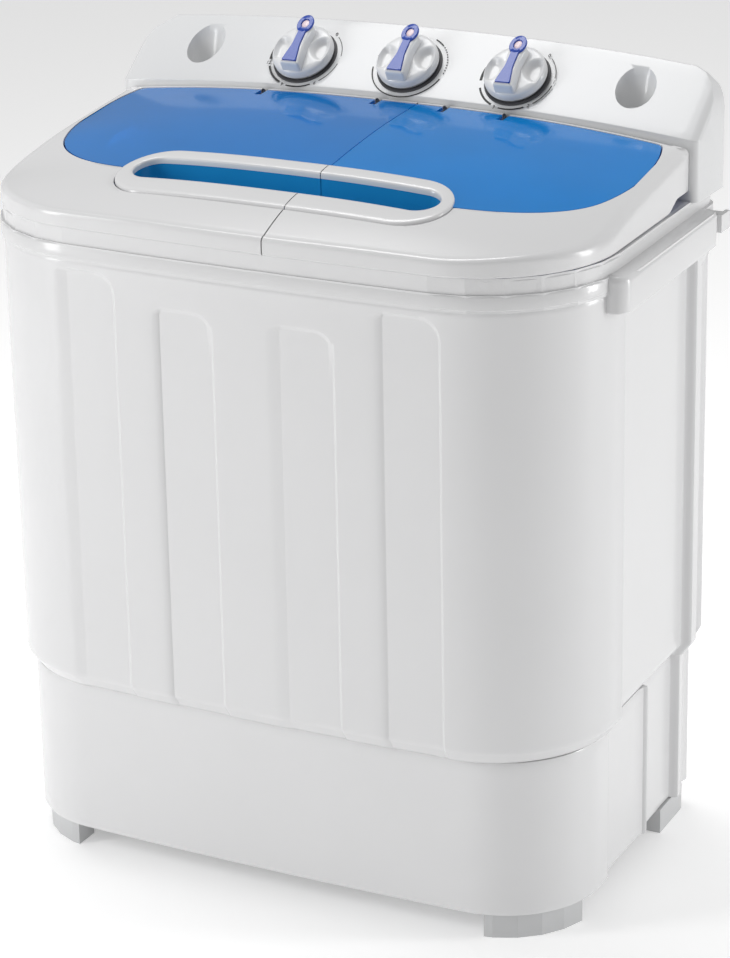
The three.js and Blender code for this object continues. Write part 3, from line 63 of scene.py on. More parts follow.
SKIRT_Z = [node_box("base_skirt")[i][2] for i in (0, 1)]
BODY_Z = [node_box("body_shell")[i][2] for i in (0, 1)]
BACK = node_box("body_shell")[1][1]
FRONT = node_box("wash_lid_frame")[0][1]
LID_REAR = node_box("wash_lid_frame")[1][1]
LID_BOTTOM = node_box("wash_lid_frame")[0][2]
SPLIT_X = (node_box("wash_lid_frame")[1][0] + node_box("spin_lid_frame")[0][0]) / 2
HALF = 265.0
BODY_HALF = 263.5
BODY_FRONT = -156.0
BASE_HALF = 252.7
BASE_FRONT = -143.5
SIDE_TAPER = 12.5
FRONT_BOW = 9.0
BAND_HEIGHT = 13.5
BAND_TOP = BODY_Z[1] + 0.3 + BAND_HEIGHT
FRAME_TOP = LID_BOTTOM - 0.6
TILT = math.radians(38)
KNOB_PITCH = 95.0
KNOB_Y = 122.8
PANEL_FOOT = 598.2
CONSOLE_FRONT = LID_REAR + 0.6
CONSOLE_CROWN = 13.0
HINGE_Y = 82.5
HINGE_Z = 586.5
HINGE_X = (-116.0, SPLIT_X - 34, SPLIT_X + 26, 100.0)
INLET_X = 193.0
INLET_Y = KNOB_Y + 5


# ---------------------------------------------------------------- curves and outlines
def smooth(low, high, value):
    t = min(1.0, max(0.0, (value - low) / (high - low)))
    return t * t * (3 - 2 * t)


def lerp(a, b, t):
    return tuple(p + (q - p) * t for p, q in zip(a, b))


def rounded(corners, steps=8, closed=True):
    """A polygon of (x, y, radius) corners with its corners rounded off, as a list of points."""
    points = []
    count = len(corners)
    for i, (x, y, radius) in enumerate(corners):
        corner = Vector((x, y))
        if not closed and i in (0, count - 1) or radius <= 0:
            points.append((x, y))
            continue
        before = (Vector(corners[i - 1][:2]) - corner).normalized()
        after = (Vector(corners[(i + 1) % count][:2]) - corner).normalized()
        half = before.angle(after) / 2
        centre = corner + (before + after).normalized() * radius / math.sin(half)
        start = corner + before * radius / math.tan(half) - centre
        end = corner + after * radius / math.tan(half) - centre
        turn = start.angle_signed(end)
        for k in range(steps + 1):
            spoke = start.copy()
            spoke.rotate(Matrix.Rotation(-turn * k / steps, 2))
            points.append(tuple(centre + spoke))
    return points


def cabinet_plan(half, front, corner, inset=0.0, steps=26):
    side = half - inset
    nose = front + inset
    back = BACK - inset
    flat = side - corner
    bow = math.atan(FRONT_BOW / side)
    lift = flat * 0.9 * math.tan(bow) / 2
    rear = max(18 - inset / 2, 4)
    return rounded(
        [
            (0, nose - lift, flat * 0.9 / math.tan(bow)),
            (side, nose - lift + FRONT_BOW, corner - inset),
            (side - SIDE_TAPER, back, rear),
            (SIDE_TAPER - side, back, rear),
            (-side, nose - lift + FRONT_BOW, corner - inset),
        ],
        steps,
    )


def stations(outline, spacing):
    """Walks a closed outline in steps of spacing(x, y) and returns (x, y, outward x, outward y)."""
    found = []
    carry = 0.0
    count = len(outline)
    for i in range(count):
        a, b = Vector(outline[i]), Vector(outline[(i + 1) % count])
        length = (b - a).length
        if length < 1e-9:
            continue
        along = carry
        while along < length:
            found.append(a.lerp(b, along / length))
            along += spacing(*found[-1])
        carry = along - length
    ring = []
    count = len(found)
    for i, p in enumerate(found):
        way = found[(i + 1) % count] - found[i - 1]
        way.normalize()
        ring.append((p.x, p.y, way.y, -way.x))
    return ring


def curve(knots, at):
    """A smooth curve through (place, value) knots."""
    if at <= knots[0][0]:
        return knots[0][1]
    for i in range(len(knots) - 1):
        (x0, y0), (x1, y1) = knots[i], knots[i + 1]
        if at > x1:
            continue
        slope0 = (y1 - y0) / (x1 - x0) if i == 0 else (y1 - knots[i - 1][1]) / (x1 - knots[i - 1][0])
        last = i + 2 == len(knots)
        slope1 = (y1 - y0) / (x1 - x0) if last else (knots[i + 2][1] - y0) / (knots[i + 2][0] - x0)
        h = x1 - x0
        t = (at - x0) / h
        return (
            (2 * t**3 - 3 * t**2 + 1) * y0
            + (t**3 - 2 * t**2 + t) * h * slope0
            + (3 * t**2 - 2 * t**3) * y1
            + (t**3 - t**2) * h * slope1
        )
    return knots[-1][1]


# ---------------------------------------------------------------- mesh helpers
def finish_mesh(bm, name, body, material, replaces=(), sharp=38.0):
    """Turns a bmesh in millimetres into a named piece in place."""
    bmesh.ops.remove_doubles(bm, verts=bm.verts, dist=0.004)
    bmesh.ops.dissolve_degenerate(bm, edges=bm.edges, dist=0.002)
    bmesh.ops.recalc_face_normals(bm, faces=bm.faces)
    bmesh.ops.scale(bm, verts=bm.verts, vec=(MM, MM, MM))
    for face in bm.faces:
        face.smooth = True
    for edge in bm.edges:
        if len(edge.link_faces) == 2:
            edge.smooth = edge.calc_face_angle(0) < math.radians(sharp)
    mesh = bpy.data.meshes.new(name)
    bm.to_mesh(mesh)
    bm.free()
    piece = bpy.data.objects.new(name, mesh)
    bpy.context.scene.collection.objects.link(piece)
    mesh.materials.append(material)
    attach(piece, body)
    if replaces:
        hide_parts(*replaces)
    return piece


def warped(nu, nv, place, closed_u=True, closed_v=True):
    """A grid whose vertex (i, j) goes to place(i, j), in millimetres; closed directions wrap round."""
    bm = bmesh.new()
    cu, cv = (nu if closed_u else nu - 1), (nv if closed_v else nv - 1)
    bmesh.ops.create_grid(bm, x_segments=cu, y_segments=cv, size=1)
    for v in bm.verts:
        i = round((v.co.x + 1) / 2 * cu)
        j = round((v.co.y + 1) / 2 * cv)
        v.co = place(i % nu if closed_u else i, j % nv if closed_v else j)
    return bm


def shell(ring, loop, move=None):
    """Sweeps a closed loop of (outset, z) round a closed ring of stations."""

    def place(i, j):
        x, y, nx, ny = ring[i]
        out, z = loop[j]
        if move:
            out += move(x, y, z, j)
        return Vector((x + nx * out, y + ny * out, z))

    return warped(len(ring), len(loop), place)


def lathe(profile, segments=96, place=None):
    """A turned piece from (radius, height) points that start and end on the axis, or close."""
    closed = profile[0][0] > 1e-6

    def put(i, j):
        angle = 2 * math.pi * i / segments
        r, h = profile[j]
        point = Vector((r * math.cos(angle), r * math.sin(angle), h))
        return place(point) if place else point

    return warped(segments, len(profile), put, closed_v=closed)


def carved(piece, cutters):
    """Takes the cutters away from a piece, and removes them."""
    for cutter in cutters:
        cut = piece.modifiers.new("cut", "BOOLEAN")
        cut.operation = "DIFFERENCE"
        cut.solver = "EXACT"
        cut.object = cutter
    bpy.context.view_layer.update()
    result = bpy.data.meshes.new_from_object(piece.evaluated_get(bpy.context.evaluated_depsgraph_get()))
    old = piece.data
    piece.modifiers.clear()
    piece.data = result
    bpy.data.meshes.remove(old)
    for cutter in cutters:
        bpy.data.meshes.remove(cutter.data)
    return piece


def cutter_from(bm):
    bmesh.ops.remove_doubles(bm, verts=bm.verts, dist=0.004)
    bmesh.ops.recalc_face_normals(bm, faces=bm.faces)
    bmesh.ops.scale(bm, verts=bm.verts, vec=(MM, MM, MM))
    mesh = bpy.data.meshes.new("cutter")
    bm.to_mesh(mesh)
    bm.free()
    cutter = bpy.data.objects.new("cutter", mesh)
    bpy.context.scene.collection.objects.link(cutter)
    return cutter


def joined(parts):
    whole = bmesh.new()
    for bm in parts:
        mesh = bpy.data.meshes.new("part")
        bm.to_mesh(mesh)
        bm.free()
        whole.from_mesh(mesh)
        bpy.data.meshes.remove(mesh)
    return whole


def keep_side(bm, x, keep_left):
    """Cuts a solid at a plane across X and closes the cut."""
    geometry = bm.verts[:] + bm.edges[:] + bm.faces[:]
    cut = bmesh.ops.bisect_plane(
        bm,
        geom=geometry,
        plane_co=(x, 0, 0),
        plane_no=(1, 0, 0),
        clear_outer=keep_left,
        clear_inner=not keep_left,
    )
    edges = [e for e in cut["geom_cut"] if isinstance(e, bmesh.types.BMEdge)]
    bmesh.ops.holes_fill(bm, edges=edges, sides=0)
    return bm


# ---------------------------------------------------------------- materials
def plastic(name, color, roughness=0.25, mottle=0.02, bump=0.02, coat=0.3, grain=900.0):
    """Moulded plastic: faint mottling, fine flow grain in the gloss and a little waviness."""
    material = bpy.data.materials.new(name)
    material.use_nodes = True
    tree = material.node_tree
    nodes, links = tree.nodes, tree.links
    shader = nodes["Principled BSDF"]
    place = nodes.new("ShaderNodeTexCoord")
    cloud = nodes.new("ShaderNodeTexNoise")
    cloud.inputs["Scale"].default_value = 9.0
    cloud.inputs["Detail"].default_value = 3.0
    links.new(place.outputs["Object"], cloud.inputs["Vector"])
    tint = nodes.new("ShaderNodeMapRange")
    tint.inputs["To Min"].default_value = 1.0 - mottle
    tint.inputs["To Max"].default_value = 1.0 + mottle
    links.new(cloud.outputs["Fac"], tint.inputs["Value"])
    mix = nodes.new("ShaderNodeVectorMath")
    mix.operation = "SCALE"
    mix.inputs[0].default_value = color
    links.new(tint.outputs["Result"], mix.inputs["Scale"])
    links.new(mix.outputs["Vector"], shader.inputs["Base Color"])
    fine = nodes.new("ShaderNodeTexNoise")
    fine.inputs["Scale"].default_value = grain
    fine.inputs["Detail"].default_value = 2.0
    links.new(place.outputs["Object"], fine.inputs["Vector"])
    gloss = nodes.new("ShaderNodeMapRange")
    gloss.inputs["To Min"].default_value = roughness * 0.8
    gloss.inputs["To Max"].default_value = roughness * 1.2
    links.new(fine.outputs["Fac"], gloss.inputs["Value"])
    links.new(gloss.outputs["Result"], shader.inputs["Roughness"])
    relief = nodes.new("ShaderNodeBump")
    relief.inputs["Strength"].default_value = bump
    relief.inputs["Distance"].default_value = 0.0004
    links.new(fine.outputs["Fac"], relief.inputs["Height"])
    links.new(relief.outputs["Normal"], shader.inputs["Normal"])
    shader.inputs["Coat Weight"].default_value = coat
    shader.inputs["Coat Roughness"].default_value = 0.08
    return material


def metal(name, color, roughness, stretch=(1, 1, 30)):
    """Metal with drawn or cast streaks."""
    material = plastic(name, color, roughness, mottle=0.1, bump=0.08, coat=0.0, grain=160.0)
    nodes, links = material.node_tree.nodes, material.node_tree.links
    nodes["Principled BSDF"].inputs["Metallic"].default_value = 1.0
    mapping = nodes.new("ShaderNodeMapping")
    mapping.inputs["Scale"].default_value = stretch
    place = nodes["Texture Coordinate"]
    links.new(place.outputs["Object"], mapping.inputs["Vector"])
    for node in nodes:
        if node.type == "TEX_NOISE":
            links.new(mapping.outputs["Vector"], node.inputs["Vector"])
    return material


def clear_plastic(name, color, tint, through):
    """Clear tinted plastic: a glossy coloured sheet that lets part of what lies under it show."""
    material = plastic(name, color, 0.1, mottle=0.16, bump=0.0, coat=0.5)
    nodes, links = material.node_tree.nodes, material.node_tree.links
    glass = nodes.new("ShaderNodeBsdfTransparent")
    glass.inputs["Color"].default_value = (*tint, 1)
    mix = nodes.new("ShaderNodeMixShader")
    mix.inputs["Fac"].default_value = through
    links.new(nodes["Principled BSDF"].outputs["BSDF"], mix.inputs[1])
    links.new(glass.outputs["BSDF"], mix.inputs[2])
    links.new(mix.outputs["Shader"], nodes["Material Output"].inputs["Surface"])
    return material


WHITE = plastic("white_plastic", (0.70, 0.70, 0.705), 0.24)
CONSOLE = plastic("console_plastic", (0.68, 0.685, 0.69), 0.3)
KNOB = plastic("knob_plastic", (0.72, 0.725, 0.73), 0.32)
# SHADOW: near-black material for the flat ring under each knob, a painted shadow standing for the shade
# in the gap between knob and panel
SHADOW = plastic("knob_painted_shadow", (0.06, 0.06, 0.065), 0.6, coat=0)
INK = plastic("black_print", (0.006, 0.006, 0.007), 0.5, coat=0)
POINTER = plastic("pointer_blue", (0.006, 0.05, 0.36), 0.3)
EYE = plastic("pointer_eye", (0.78, 0.62, 0.66), 0.35)
PANE = clear_plastic("clear_blue", (0.008, 0.27, 0.74), (0.06, 0.42, 0.9), 0.34)
# The spin lid gets a brighter, more saturated copy of the same clear blue: painted light, for the windows
# reading lighter towards the right
PANE_LIT = clear_plastic("clear_blue_spin_painted_light", (0.003, 0.31, 0.80), (0.04, 0.45, 0.95), 0.34)
BOWL = clear_plastic("clear_blue_bowl", (0.02, 0.32, 0.66), (0.1, 0.5, 0.8), 0.15)
GREY = plastic("grey_plastic", (0.50, 0.51, 0.52), 0.45, coat=0.1)
RUBBER = plastic("black_rubber", (0.02, 0.021, 0.023), 0.75, coat=0, bump=0.1)
FOOT = plastic("foot_plastic", (0.55, 0.555, 0.56), 0.45, coat=0)
STEEL = metal("plated_steel", (0.55, 0.56, 0.58), 0.3)
MOTOR = metal("motor_metal", (0.16, 0.17, 0.18), 0.45)
BY_SLOT = {
    "white_plastic": WHITE,
    "console_plastic": CONSOLE,
    "knob_plastic": KNOB,
    "clear_blue": PANE,
    "pointer_blue": POINTER,
    "grey_plastic": GREY,
    "black_rubber": RUBBER,
    "plated_steel": STEEL,
    "motor_metal": MOTOR,
}
for part in frame["record"]["subparts"]:
    node = NODES[part["node"]]
    node.data.materials.clear()
    node.data.materials.append(
        FOOT if part["node"].startswith("foot_") else BY_SLOT[part["material_slot"]]
    )


# ---------------------------------------------------------------- body and base
STRIPS = [(side * x, BODY_Z[1] - drop) for side in (-1, 1) for x, drop in ((51.5, 29), (137.8, 8))]
STRIP_HALF = 23.7
STRIP_DEPTH = 1.5
RECESS_Y = (-38, 114)
GROOVE_Y = (132, 154)
BASE_STEPS_Y = (-38, 44, 48, 114, 117, 133, 153)


def strip_distance(x, z, centre, top):
    """Signed distance to an upright strip with a small left and a large right upper corner."""
    r = 5.0 if x < centre else 17.0
    dx = abs(x - centre) - (STRIP_HALF - r)
    dz = z - (top - r)
    return math.hypot(max(dx, 0), max(dz, 0)) + min(max(dx, dz), 0) - r


def front_strips(x, y, z):
    if y > -100:
        return 0.0
    return sum(STRIP_DEPTH * (1 - smooth(-0.9, 0.9, strip_distance(x, z, c, t))) for c, t in STRIPS)


def wall_step(y, low, high, depth, soft=2.2):
    return depth * smooth(low - soft, low + soft, y) * (1 - smooth(high - soft, high + soft, y))


def body_relief(x, y, z):
    bite = front_strips(x, y, z)
    if abs(x) > 200:
        bite += wall_step(y, *RECESS_Y, 7.8) * (1 - smooth(490, 496, z))
        bite -= 1.1 * math.exp(-(((y + 42) / 2.6) ** 2)) * (1 - smooth(488, 500, z)) * smooth(152, 164, z)
        middle = 143.0
        top = 478 - max(0, 1 - ((y - middle) / 12) ** 2) * -9
        bite += wall_step(y, *GROOVE_Y, 8.5, 1.2) * (1 - smooth(top - 2, top + 2, z))
    return -bite


def base_relief(x, y, z):
    if abs(x) < 200:
        return 0.0
    return -(wall_step(y, -38, 44, 4.5) + wall_step(y, 48, 117, 7.0) + wall_step(y, 133, 153, 6.5))


def near(value, marks, reach):
    return any(abs(value - m) < reach for m in marks)


def body_spacing(x, y):
    if y < -100:
        inside = any(abs(x - c) < STRIP_HALF + 2 for c, _ in STRIPS)
        edge = any(abs(abs(x - c) - STRIP_HALF) < 2.5 for c, _ in STRIPS)
        corner = any(0 < x - c < STRIP_HALF for c, _ in STRIPS)
        return 0.7 if edge else 1.4 if corner else 3.0 if inside else 6.0
    if abs(x) > 200 and near(y, BASE_STEPS_Y, 3.5):
        return 0.9
    return 6.0


def upright(low, high, coarse, fine=None, fine_step=1.2):
    """Heights from low to high, finer inside the fine span."""
    z = low
    found = []
    while z < high - 0.3:
        found.append(z)
        z += fine_step if fine and fine[0] < z < fine[1] else coarse
    return found + [high]


def make_skin(name, node, plan, loop_outer, relief):
    ring = stations(plan, body_spacing)
    inner_top, inner_bottom = loop_outer[-1][1], loop_outer[0][1]
    loop = loop_outer + [
        (-10.5, inner_top),
        (-12, inner_top - 2),
        (-12, (inner_top + inner_bottom) / 2),
        (-20, inner_bottom),
    ]
    outer_count = len(loop_outer)
    bm = shell(ring, loop, lambda x, y, z, j: relief(x, y, z) if j < outer_count else 0.0)
    return finish_mesh(bm, name, "cabinet", WHITE, (node,))


body_loop = [(-16, BODY_Z[0]), (-8.5, BODY_Z[0]), (-7.6, BODY_Z[0] + 0.6)]
body_loop += [(-7.6 + 7.0 * k / 5, BODY_Z[0] + 0.6 + 9.6 * k / 5) for k in range(1, 6)]
body_loop += [(-0.25, BODY_Z[0] + 11.3), (0, BODY_Z[0] + 12.8)]
body_loop += [(0, z) for z in upright(BODY_Z[0] + 15, BODY_Z[1] - 1.2, 14, (462, 506), 1.3)]
body_loop += [(-0.4, BODY_Z[1] - 0.3), (-1.4, BODY_Z[1])]
make_skin("body_skin", "body_shell", cabinet_plan(BODY_HALF, BODY_FRONT, 102), body_loop, body_relief)
base_loop = [(-10, SKIRT_Z[0]), (-1.6, SKIRT_Z[0]), (-0.4, SKIRT_Z[0] + 0.5), (0, SKIRT_Z[0] + 1.6)]
base_loop += [(0, z) for z in upright(SKIRT_Z[0] + 6, SKIRT_Z[1] - 1, 14)] + [(-0.5, SKIRT_Z[1])]
make_skin("base_skin", "base_skirt", cabinet_plan(BASE_HALF, BASE_FRONT, 80), base_loop, base_relief)

# Band and neck of the top frame: two smooth rings over the CAD frame.
band_ring = stations(cabinet_plan(HALF, FRONT + 2, 108), lambda x, y: 5.0)
band_low = BODY_Z[1] + 0.3
band_loop = [
    (-6, band_low),
    (-4.5, band_low),
    (-4.5, band_low + 1.7),
    (-0.9, band_low + 1.7),
    (0.2, band_low + 2.7),
]
band_loop += [(0.2, BAND_TOP - 2.2), (-0.5, BAND_TOP - 0.7), (-1.8, BAND_TOP)]
band_loop += [(-3.4, BAND_TOP - 0.2), (-3.6, BAND_TOP - 0.8), (-5, BAND_TOP - 0.8)]
finish_mesh(shell(band_ring, band_loop), "frame_band", "cabinet", WHITE)
neck_loop = [
    (-7, BAND_TOP - 0.6),
    (-2.6, BAND_TOP - 0.6),
    (-2.5, BAND_TOP + 1),
    (-2.3, FRAME_TOP - 2.4),
    (-3.0, FRAME_TOP - 1.6),
]
neck_loop += [(-5.4, FRAME_TOP - 1.4), (-5.6, FRAME_TOP + 0.1), (-7, FRAME_TOP + 0.1)]
finish_mesh(shell(band_ring, neck_loop), "frame_neck", "cabinet", WHITE)


def wall_x(y, half=BODY_HALF):
    return half - SIDE_TAPER * (y - BODY_FRONT) / (BACK - BODY_FRONT)


HANDLE_Y = (-72.0, 132.0)
HANDLE_REACH = 12.9


def make_handle(side):
    """Carrying ledge: a flat shelf with a rounded nose and a drooping lip."""
    y0, y1 = HANDLE_Y
    reach = HANDLE_REACH
    outer = rounded(
        [
            (wall_x(y0) - 8, y0 + 1, 0),
            (wall_x(y0) + reach, y0, 12),
            (wall_x(y1) + reach, y1, 12),
            (wall_x(y1) - 8, y1, 0),
        ],
        12,
        closed=False,
    )
    count = len(outer)
    top, low = BAND_TOP + 0.3, BODY_Z[1] - 13.9
    loop = [
        (-3.2, low),
        (-0.8, low),
        (0, low + 1),
        (0, top - 4.5),
        (-0.5, top - 2.4),
        (-1.7, top - 0.9),
        (-3.6, top),
    ]
    loop += [(-30, top + 0.6), (-30, top - 3), (-3.2, top - 4.5)]

    def place(i, j):
        x, y = outer[i]
        out, z = loop[j]
        a, b = Vector(outer[max(i - 1, 0)]), Vector(outer[min(i + 1, count - 1)])
        way = (b - a).normalized()
        if out < -20:
            x, y = wall_x(y) - 6, min(max(y, y0 + 8), y1 - 8)
        else:
            x, y = x + way.y * out, y - way.x * out
        return Vector((side * x, y, z))

    bm = warped(count, len(loop), place, closed_u=False)
    bmesh.ops.holes_fill(bm, edges=[e for e in bm.edges if e.is_boundary], sides=0)
    word = "left" if side < 0 else "right"
    finish_mesh(bm, word + "_handle_ledge", "cabinet", WHITE)


make_handle(-1)
make_handle(1)

# ---------------------------------------------------------------- lids
CENTRE_LINE = [(-164, 548.5), (-158, 553.5), (-125, 566), (-60, 579), (20, 590), (99.5, 595.5)]
SIDE_LINE = [(-164, 547), (-120, 550), (-80, 553.5), (-15, 566), (30, 572), (99.5, 581)]


def lid_height(x, y):
    centre, side = curve(CENTRE_LINE, y), curve(SIDE_LINE, y)
    return centre - (centre - side) * min(1.06, abs(x) / 255) ** 2.5


WINDOW_SIDE = [
    (120, -88),
    (143, -86),
    (172, -78),
    (198, -65),
    (220, -47),
    (234, -26),
    (242, 4),
    (243, 36),
    (239, 68),
    (233, 88),
]


def flowing(points, steps=5):
    """A smooth curve through the points."""
    found = []
    for i in range(len(points) - 1):
        a, b = Vector(points[max(i - 1, 0)]), Vector(points[i])
        c, d = Vector(points[i + 1]), Vector(points[min(i + 2, len(points) - 1)])
        for k in range(steps):
            t = k / steps
            bend = (c - a) * t + (2 * a - 5 * b + 4 * c - d) * t**2 + (3 * b - 3 * c + d - a) * t**3
            found.append(tuple(b + bend / 2))
    return found


RIGHT_EDGE = flowing(WINDOW_SIDE) + [(232.5, 89.5), (229, 91)]
WINDOW = RIGHT_EDGE + [(-x, y) for x, y in reversed(RIGHT_EDGE)]
GRIP_OUT = (141.0, -128.0, -56.0)
GRIP_IN = (130.0, -105.0, -71.0)
TRACK_POINTS = 220  # round the ring and the bowl


def racetrack(half, y0, y1, steps=24):
    r = (y1 - y0) / 2 * 0.98
    return rounded([(-half, y0, r), (half, y0, r), (half, y1, r), (-half, y1, r)], steps)


def evenly(outline, count):
    """The same closed outline as equally spaced points."""
    total = sum(math.dist(outline[i], outline[i - 1]) for i in range(len(outline)))
    found = []
    i, left = 0, 0.0
    for k in range(count):
        while left > math.dist(outline[i], outline[(i + 1) % len(outline)]):
            left -= math.dist(outline[i], outline[(i + 1) % len(outline)])
            i = (i + 1) % len(outline)
        span = math.dist(outline[i], outline[(i + 1) % len(outline)])
        found.append(lerp(outline[i], outline[(i + 1) % len(outline)], left / span))
        left += total / count
    return found


def crossing(outline, centre, way):
    """The farthest point where a ray from centre leaves an outline."""
    best = 0.0
    count = len(outline)
    for i in range(count):
        ax, ay = outline[i][0] - centre[0], outline[i][1] - centre[1]
        bx, by = outline[(i + 1) % count][0] - centre[0], outline[(i + 1) % count][1] - centre[1]
        dx, dy = bx - ax, by - ay
        cross = way[0] * dy - way[1] * dx
        if abs(cross) < 1e-9:
            continue
        t = (ax * dy - ay * dx) / cross
        s = (ax * way[1] - ay * way[0]) / cross
        if -1e-6 <= s <= 1 + 1e-6 and t > best:
            best = t
    return centre[0] + way[0] * best, centre[1] + way[1] * best




def lid_outline():
    """The cabinet's plan as far back as the console's front."""
    plan = cabinet_plan(HALF - 4, FRONT, 106)
    found = []
    for a, b in zip(plan, plan[1:] + plan[:1]):
        if a[1] < LID_REAR:
            found.append(a)
        if (a[1] - LID_REAR) * (b[1] - LID_REAR) < 0:
            found.append(lerp(a, b, (LID_REAR - a[1]) / (b[1] - a[1])))
    return found


LID_PLAN = stations(lid_outline(), lambda x, y: 2.5 if abs(x) < 160 and y < 0 else 4.0)
HUB = (0.0, -25.0)
GRIP_EDGE = racetrack(*GRIP_OUT)


def opening_point(x, y, grow=0.0):
    """Where the line from the hub to (x, y) crosses the edge of the window and grip field."""
    length = math.hypot(x - HUB[0], y - HUB[1])
    way = ((x - HUB[0]) / length, (y - HUB[1]) / length)
    a, b = crossing(WINDOW, HUB, way), crossing(GRIP_EDGE, HUB, way)
    far = a if math.dist(a, HUB) > math.dist(b, HUB) else b
    return far[0] + way[0] * grow, far[1] + way[1] * grow


OPENING = [opening_point(x, y) for x, y, _, _ in LID_PLAN]
LID_ROWS = 16


def lid_frame_point(i, j):
    x, y, nx, ny = LID_PLAN[i]
    ox, oy = OPENING[i]
    ux, uy = lerp((ox, oy), (x, y), 0.6 / max(math.dist((ox, oy), (x, y)), 1))
    front = 1 - smooth(-150, -60, y)
    rear = smooth(97, 99, y)
    r = 4.5 * front + 11 * (1 - front)
    r = r * (1 - rear) + 7.0 * rear
    inner = (x - nx * r, y - ny * r)
    crest = lid_height(*inner)
    wall_top = crest - r * 0.95
    if j == 0:
        return Vector((ux, uy, lid_height(ux, uy) - 5))
    if j == 1:
        return Vector((ux, uy, lid_height(ux, uy) - 0.9))
    if j < LID_ROWS:
        t = (j - 1.6) / (LID_ROWS - 2.6)
        px, py = lerp((ux, uy), inner, max(t, 0))
        return Vector((px, py, lid_height(px, py)))
    bend = j - LID_ROWS
    if bend <= 7:
        angle = math.pi / 2 * bend / 7
        out = r * math.sin(angle)
        return Vector((
            inner[0] + nx * out,
            inner[1] + ny * out,
            crest - (crest - wall_top) * (1 - math.cos(angle)),
        ))
    bottom = LID_BOTTOM + 0.2 + 7.5 * min(1, max(0, (y - HINGE_Y + 24) / 16))
    if y > LID_REAR - 1 and abs(x) < HALF - 18:
        bottom = HINGE_Z - 9.5
    walls = [
        (0, min(wall_top - 2, bottom + 8)),
        (0, bottom + 1),
        (-0.8, bottom),
        (-2.4, bottom),
        (-2.6, bottom + 1),
    ]
    if bend - 8 < len(walls):
        out, z = walls[bend - 8]
        return Vector((x + nx * out, y + ny * out, z))
    if bend - 8 == len(walls):
        return Vector((inner[0], inner[1], crest - 3 - r * 0.5))
    return Vector((
        *lerp((ux, uy), inner, 0.5),
        min(lid_height(*lerp((ux, uy), inner, 0.5)) - 3.2, crest + 20),
    ))


LID_LOOP = LID_ROWS + 8 + 5 + 2


def slab_cutter(low, high):
    side = bmesh.new()
    bmesh.ops.create_cube(side, size=1)
    bmesh.ops.scale(side, verts=side.verts, vec=[b - a for a, b in zip(low, high)])
    bmesh.ops.translate(side, verts=side.verts, vec=[(a + b) / 2 for a, b in zip(low, high)])
    return cutter_from(side)


def post_slots(left):
    """Room for the hinge posts in one lid."""
    places = HINGE_X[:2] if left else HINGE_X[2:]
    return [slab_cutter((x - 3.2, HINGE_Y - 3.5, 500), (x + 2.7, LID_REAR + 4, 640)) for x in places]


def hinge_eyes(left):
    """The eyes that turn on the posts' pins."""
    places = HINGE_X[:2] if left else HINGE_X[2:]
    parts = []
    for x in places:
        profile = [
            (2.9, x + 3),
            (4.2, x + 3),
            (4.7, x + 3.6),
            (4.7, x + 11.4),
            (4.2, x + 12),
            (2.9, x + 12),
        ]
        parts.append(lathe(profile, 28, lambda p: Vector((p.z, HINGE_Y + p.x, HINGE_Z + p.y))))
    return joined(parts)


for word, left, gap in (("wash", True, -0.45), ("spin", False, 0.45)):
    solid = keep_side(warped(len(LID_PLAN), LID_LOOP, lid_frame_point), SPLIT_X + gap, left)
    cover = finish_mesh(
        solid,
        word + "_lid_cover",
        word + "_lid",
        WHITE,
        (word + "_lid_frame",),
    )
    carved(cover, post_slots(left))
    finish_mesh(hinge_eyes(left), word + "_lid_hinge_eyes", word + "_lid", BOWL)

EDGE = [opening_point(x, y, -0.5) for x, y, _, _ in LID_PLAN]
PANE_ROWS = 26


def pane_point(i, j):
    top = j <= PANE_ROWS
    t = j / PANE_ROWS if top else (2 * PANE_ROWS + 1 - j) / PANE_ROWS
    px, py = lerp(HUB, EDGE[i], t)
    return Vector((px, py, lid_height(px, py) - (0.5 if top else 3.0)))


def matched_tracks(count):
    """Outer and inner edge of the ring as pairs of points facing each other."""
    inner = evenly(racetrack(*GRIP_IN), count)
    middle = ((GRIP_IN[1] + GRIP_IN[2]) / 2, (GRIP_OUT[1] + GRIP_OUT[2]) / 2)
    bend_in, bend_out = (GRIP_IN[2] - GRIP_IN[1]) / 2, (GRIP_OUT[2] - GRIP_OUT[1]) / 2
    outer = []
    for x, y in inner:
        start = max(bend_in - GRIP_IN[0], min(GRIP_IN[0] - bend_in, x))
        way = Vector((x - start, y - middle[0])).normalized()
        stretch = (GRIP_OUT[0] - bend_out) / (GRIP_IN[0] - bend_in)
        outer.append((start * stretch + way.x * bend_out, middle[1] + way.y * bend_out))
    return outer, inner


def grip_sweep(rise):
    """Rows across the ring from its outer to its inner racetrack, then down into the bowl."""
    outer, inner = matched_tracks(TRACK_POINTS)

    def place(i, j):
        across, up = rise[j]
        x, y = lerp(outer[i], inner[i], across)
        return Vector((x, y, lid_height(x, y) + up))

    return warped(len(outer), len(rise), place)


RING_RISE = [
    (0.004, -2.4),
    (0.004, 0.3),
    (0.03, 1.0),
    (0.08, 1.5),
    (0.2, 1.7),
    (0.5, 1.75),
    (0.8, 1.6),
    (0.92, 1.3),
]
RING_RISE += [(0.98, 0.6), (1.0, -0.4), (1.0, -3.4), (0.9, -3.4), (0.8, -2.4)]
BOWL_DROP = 21.0


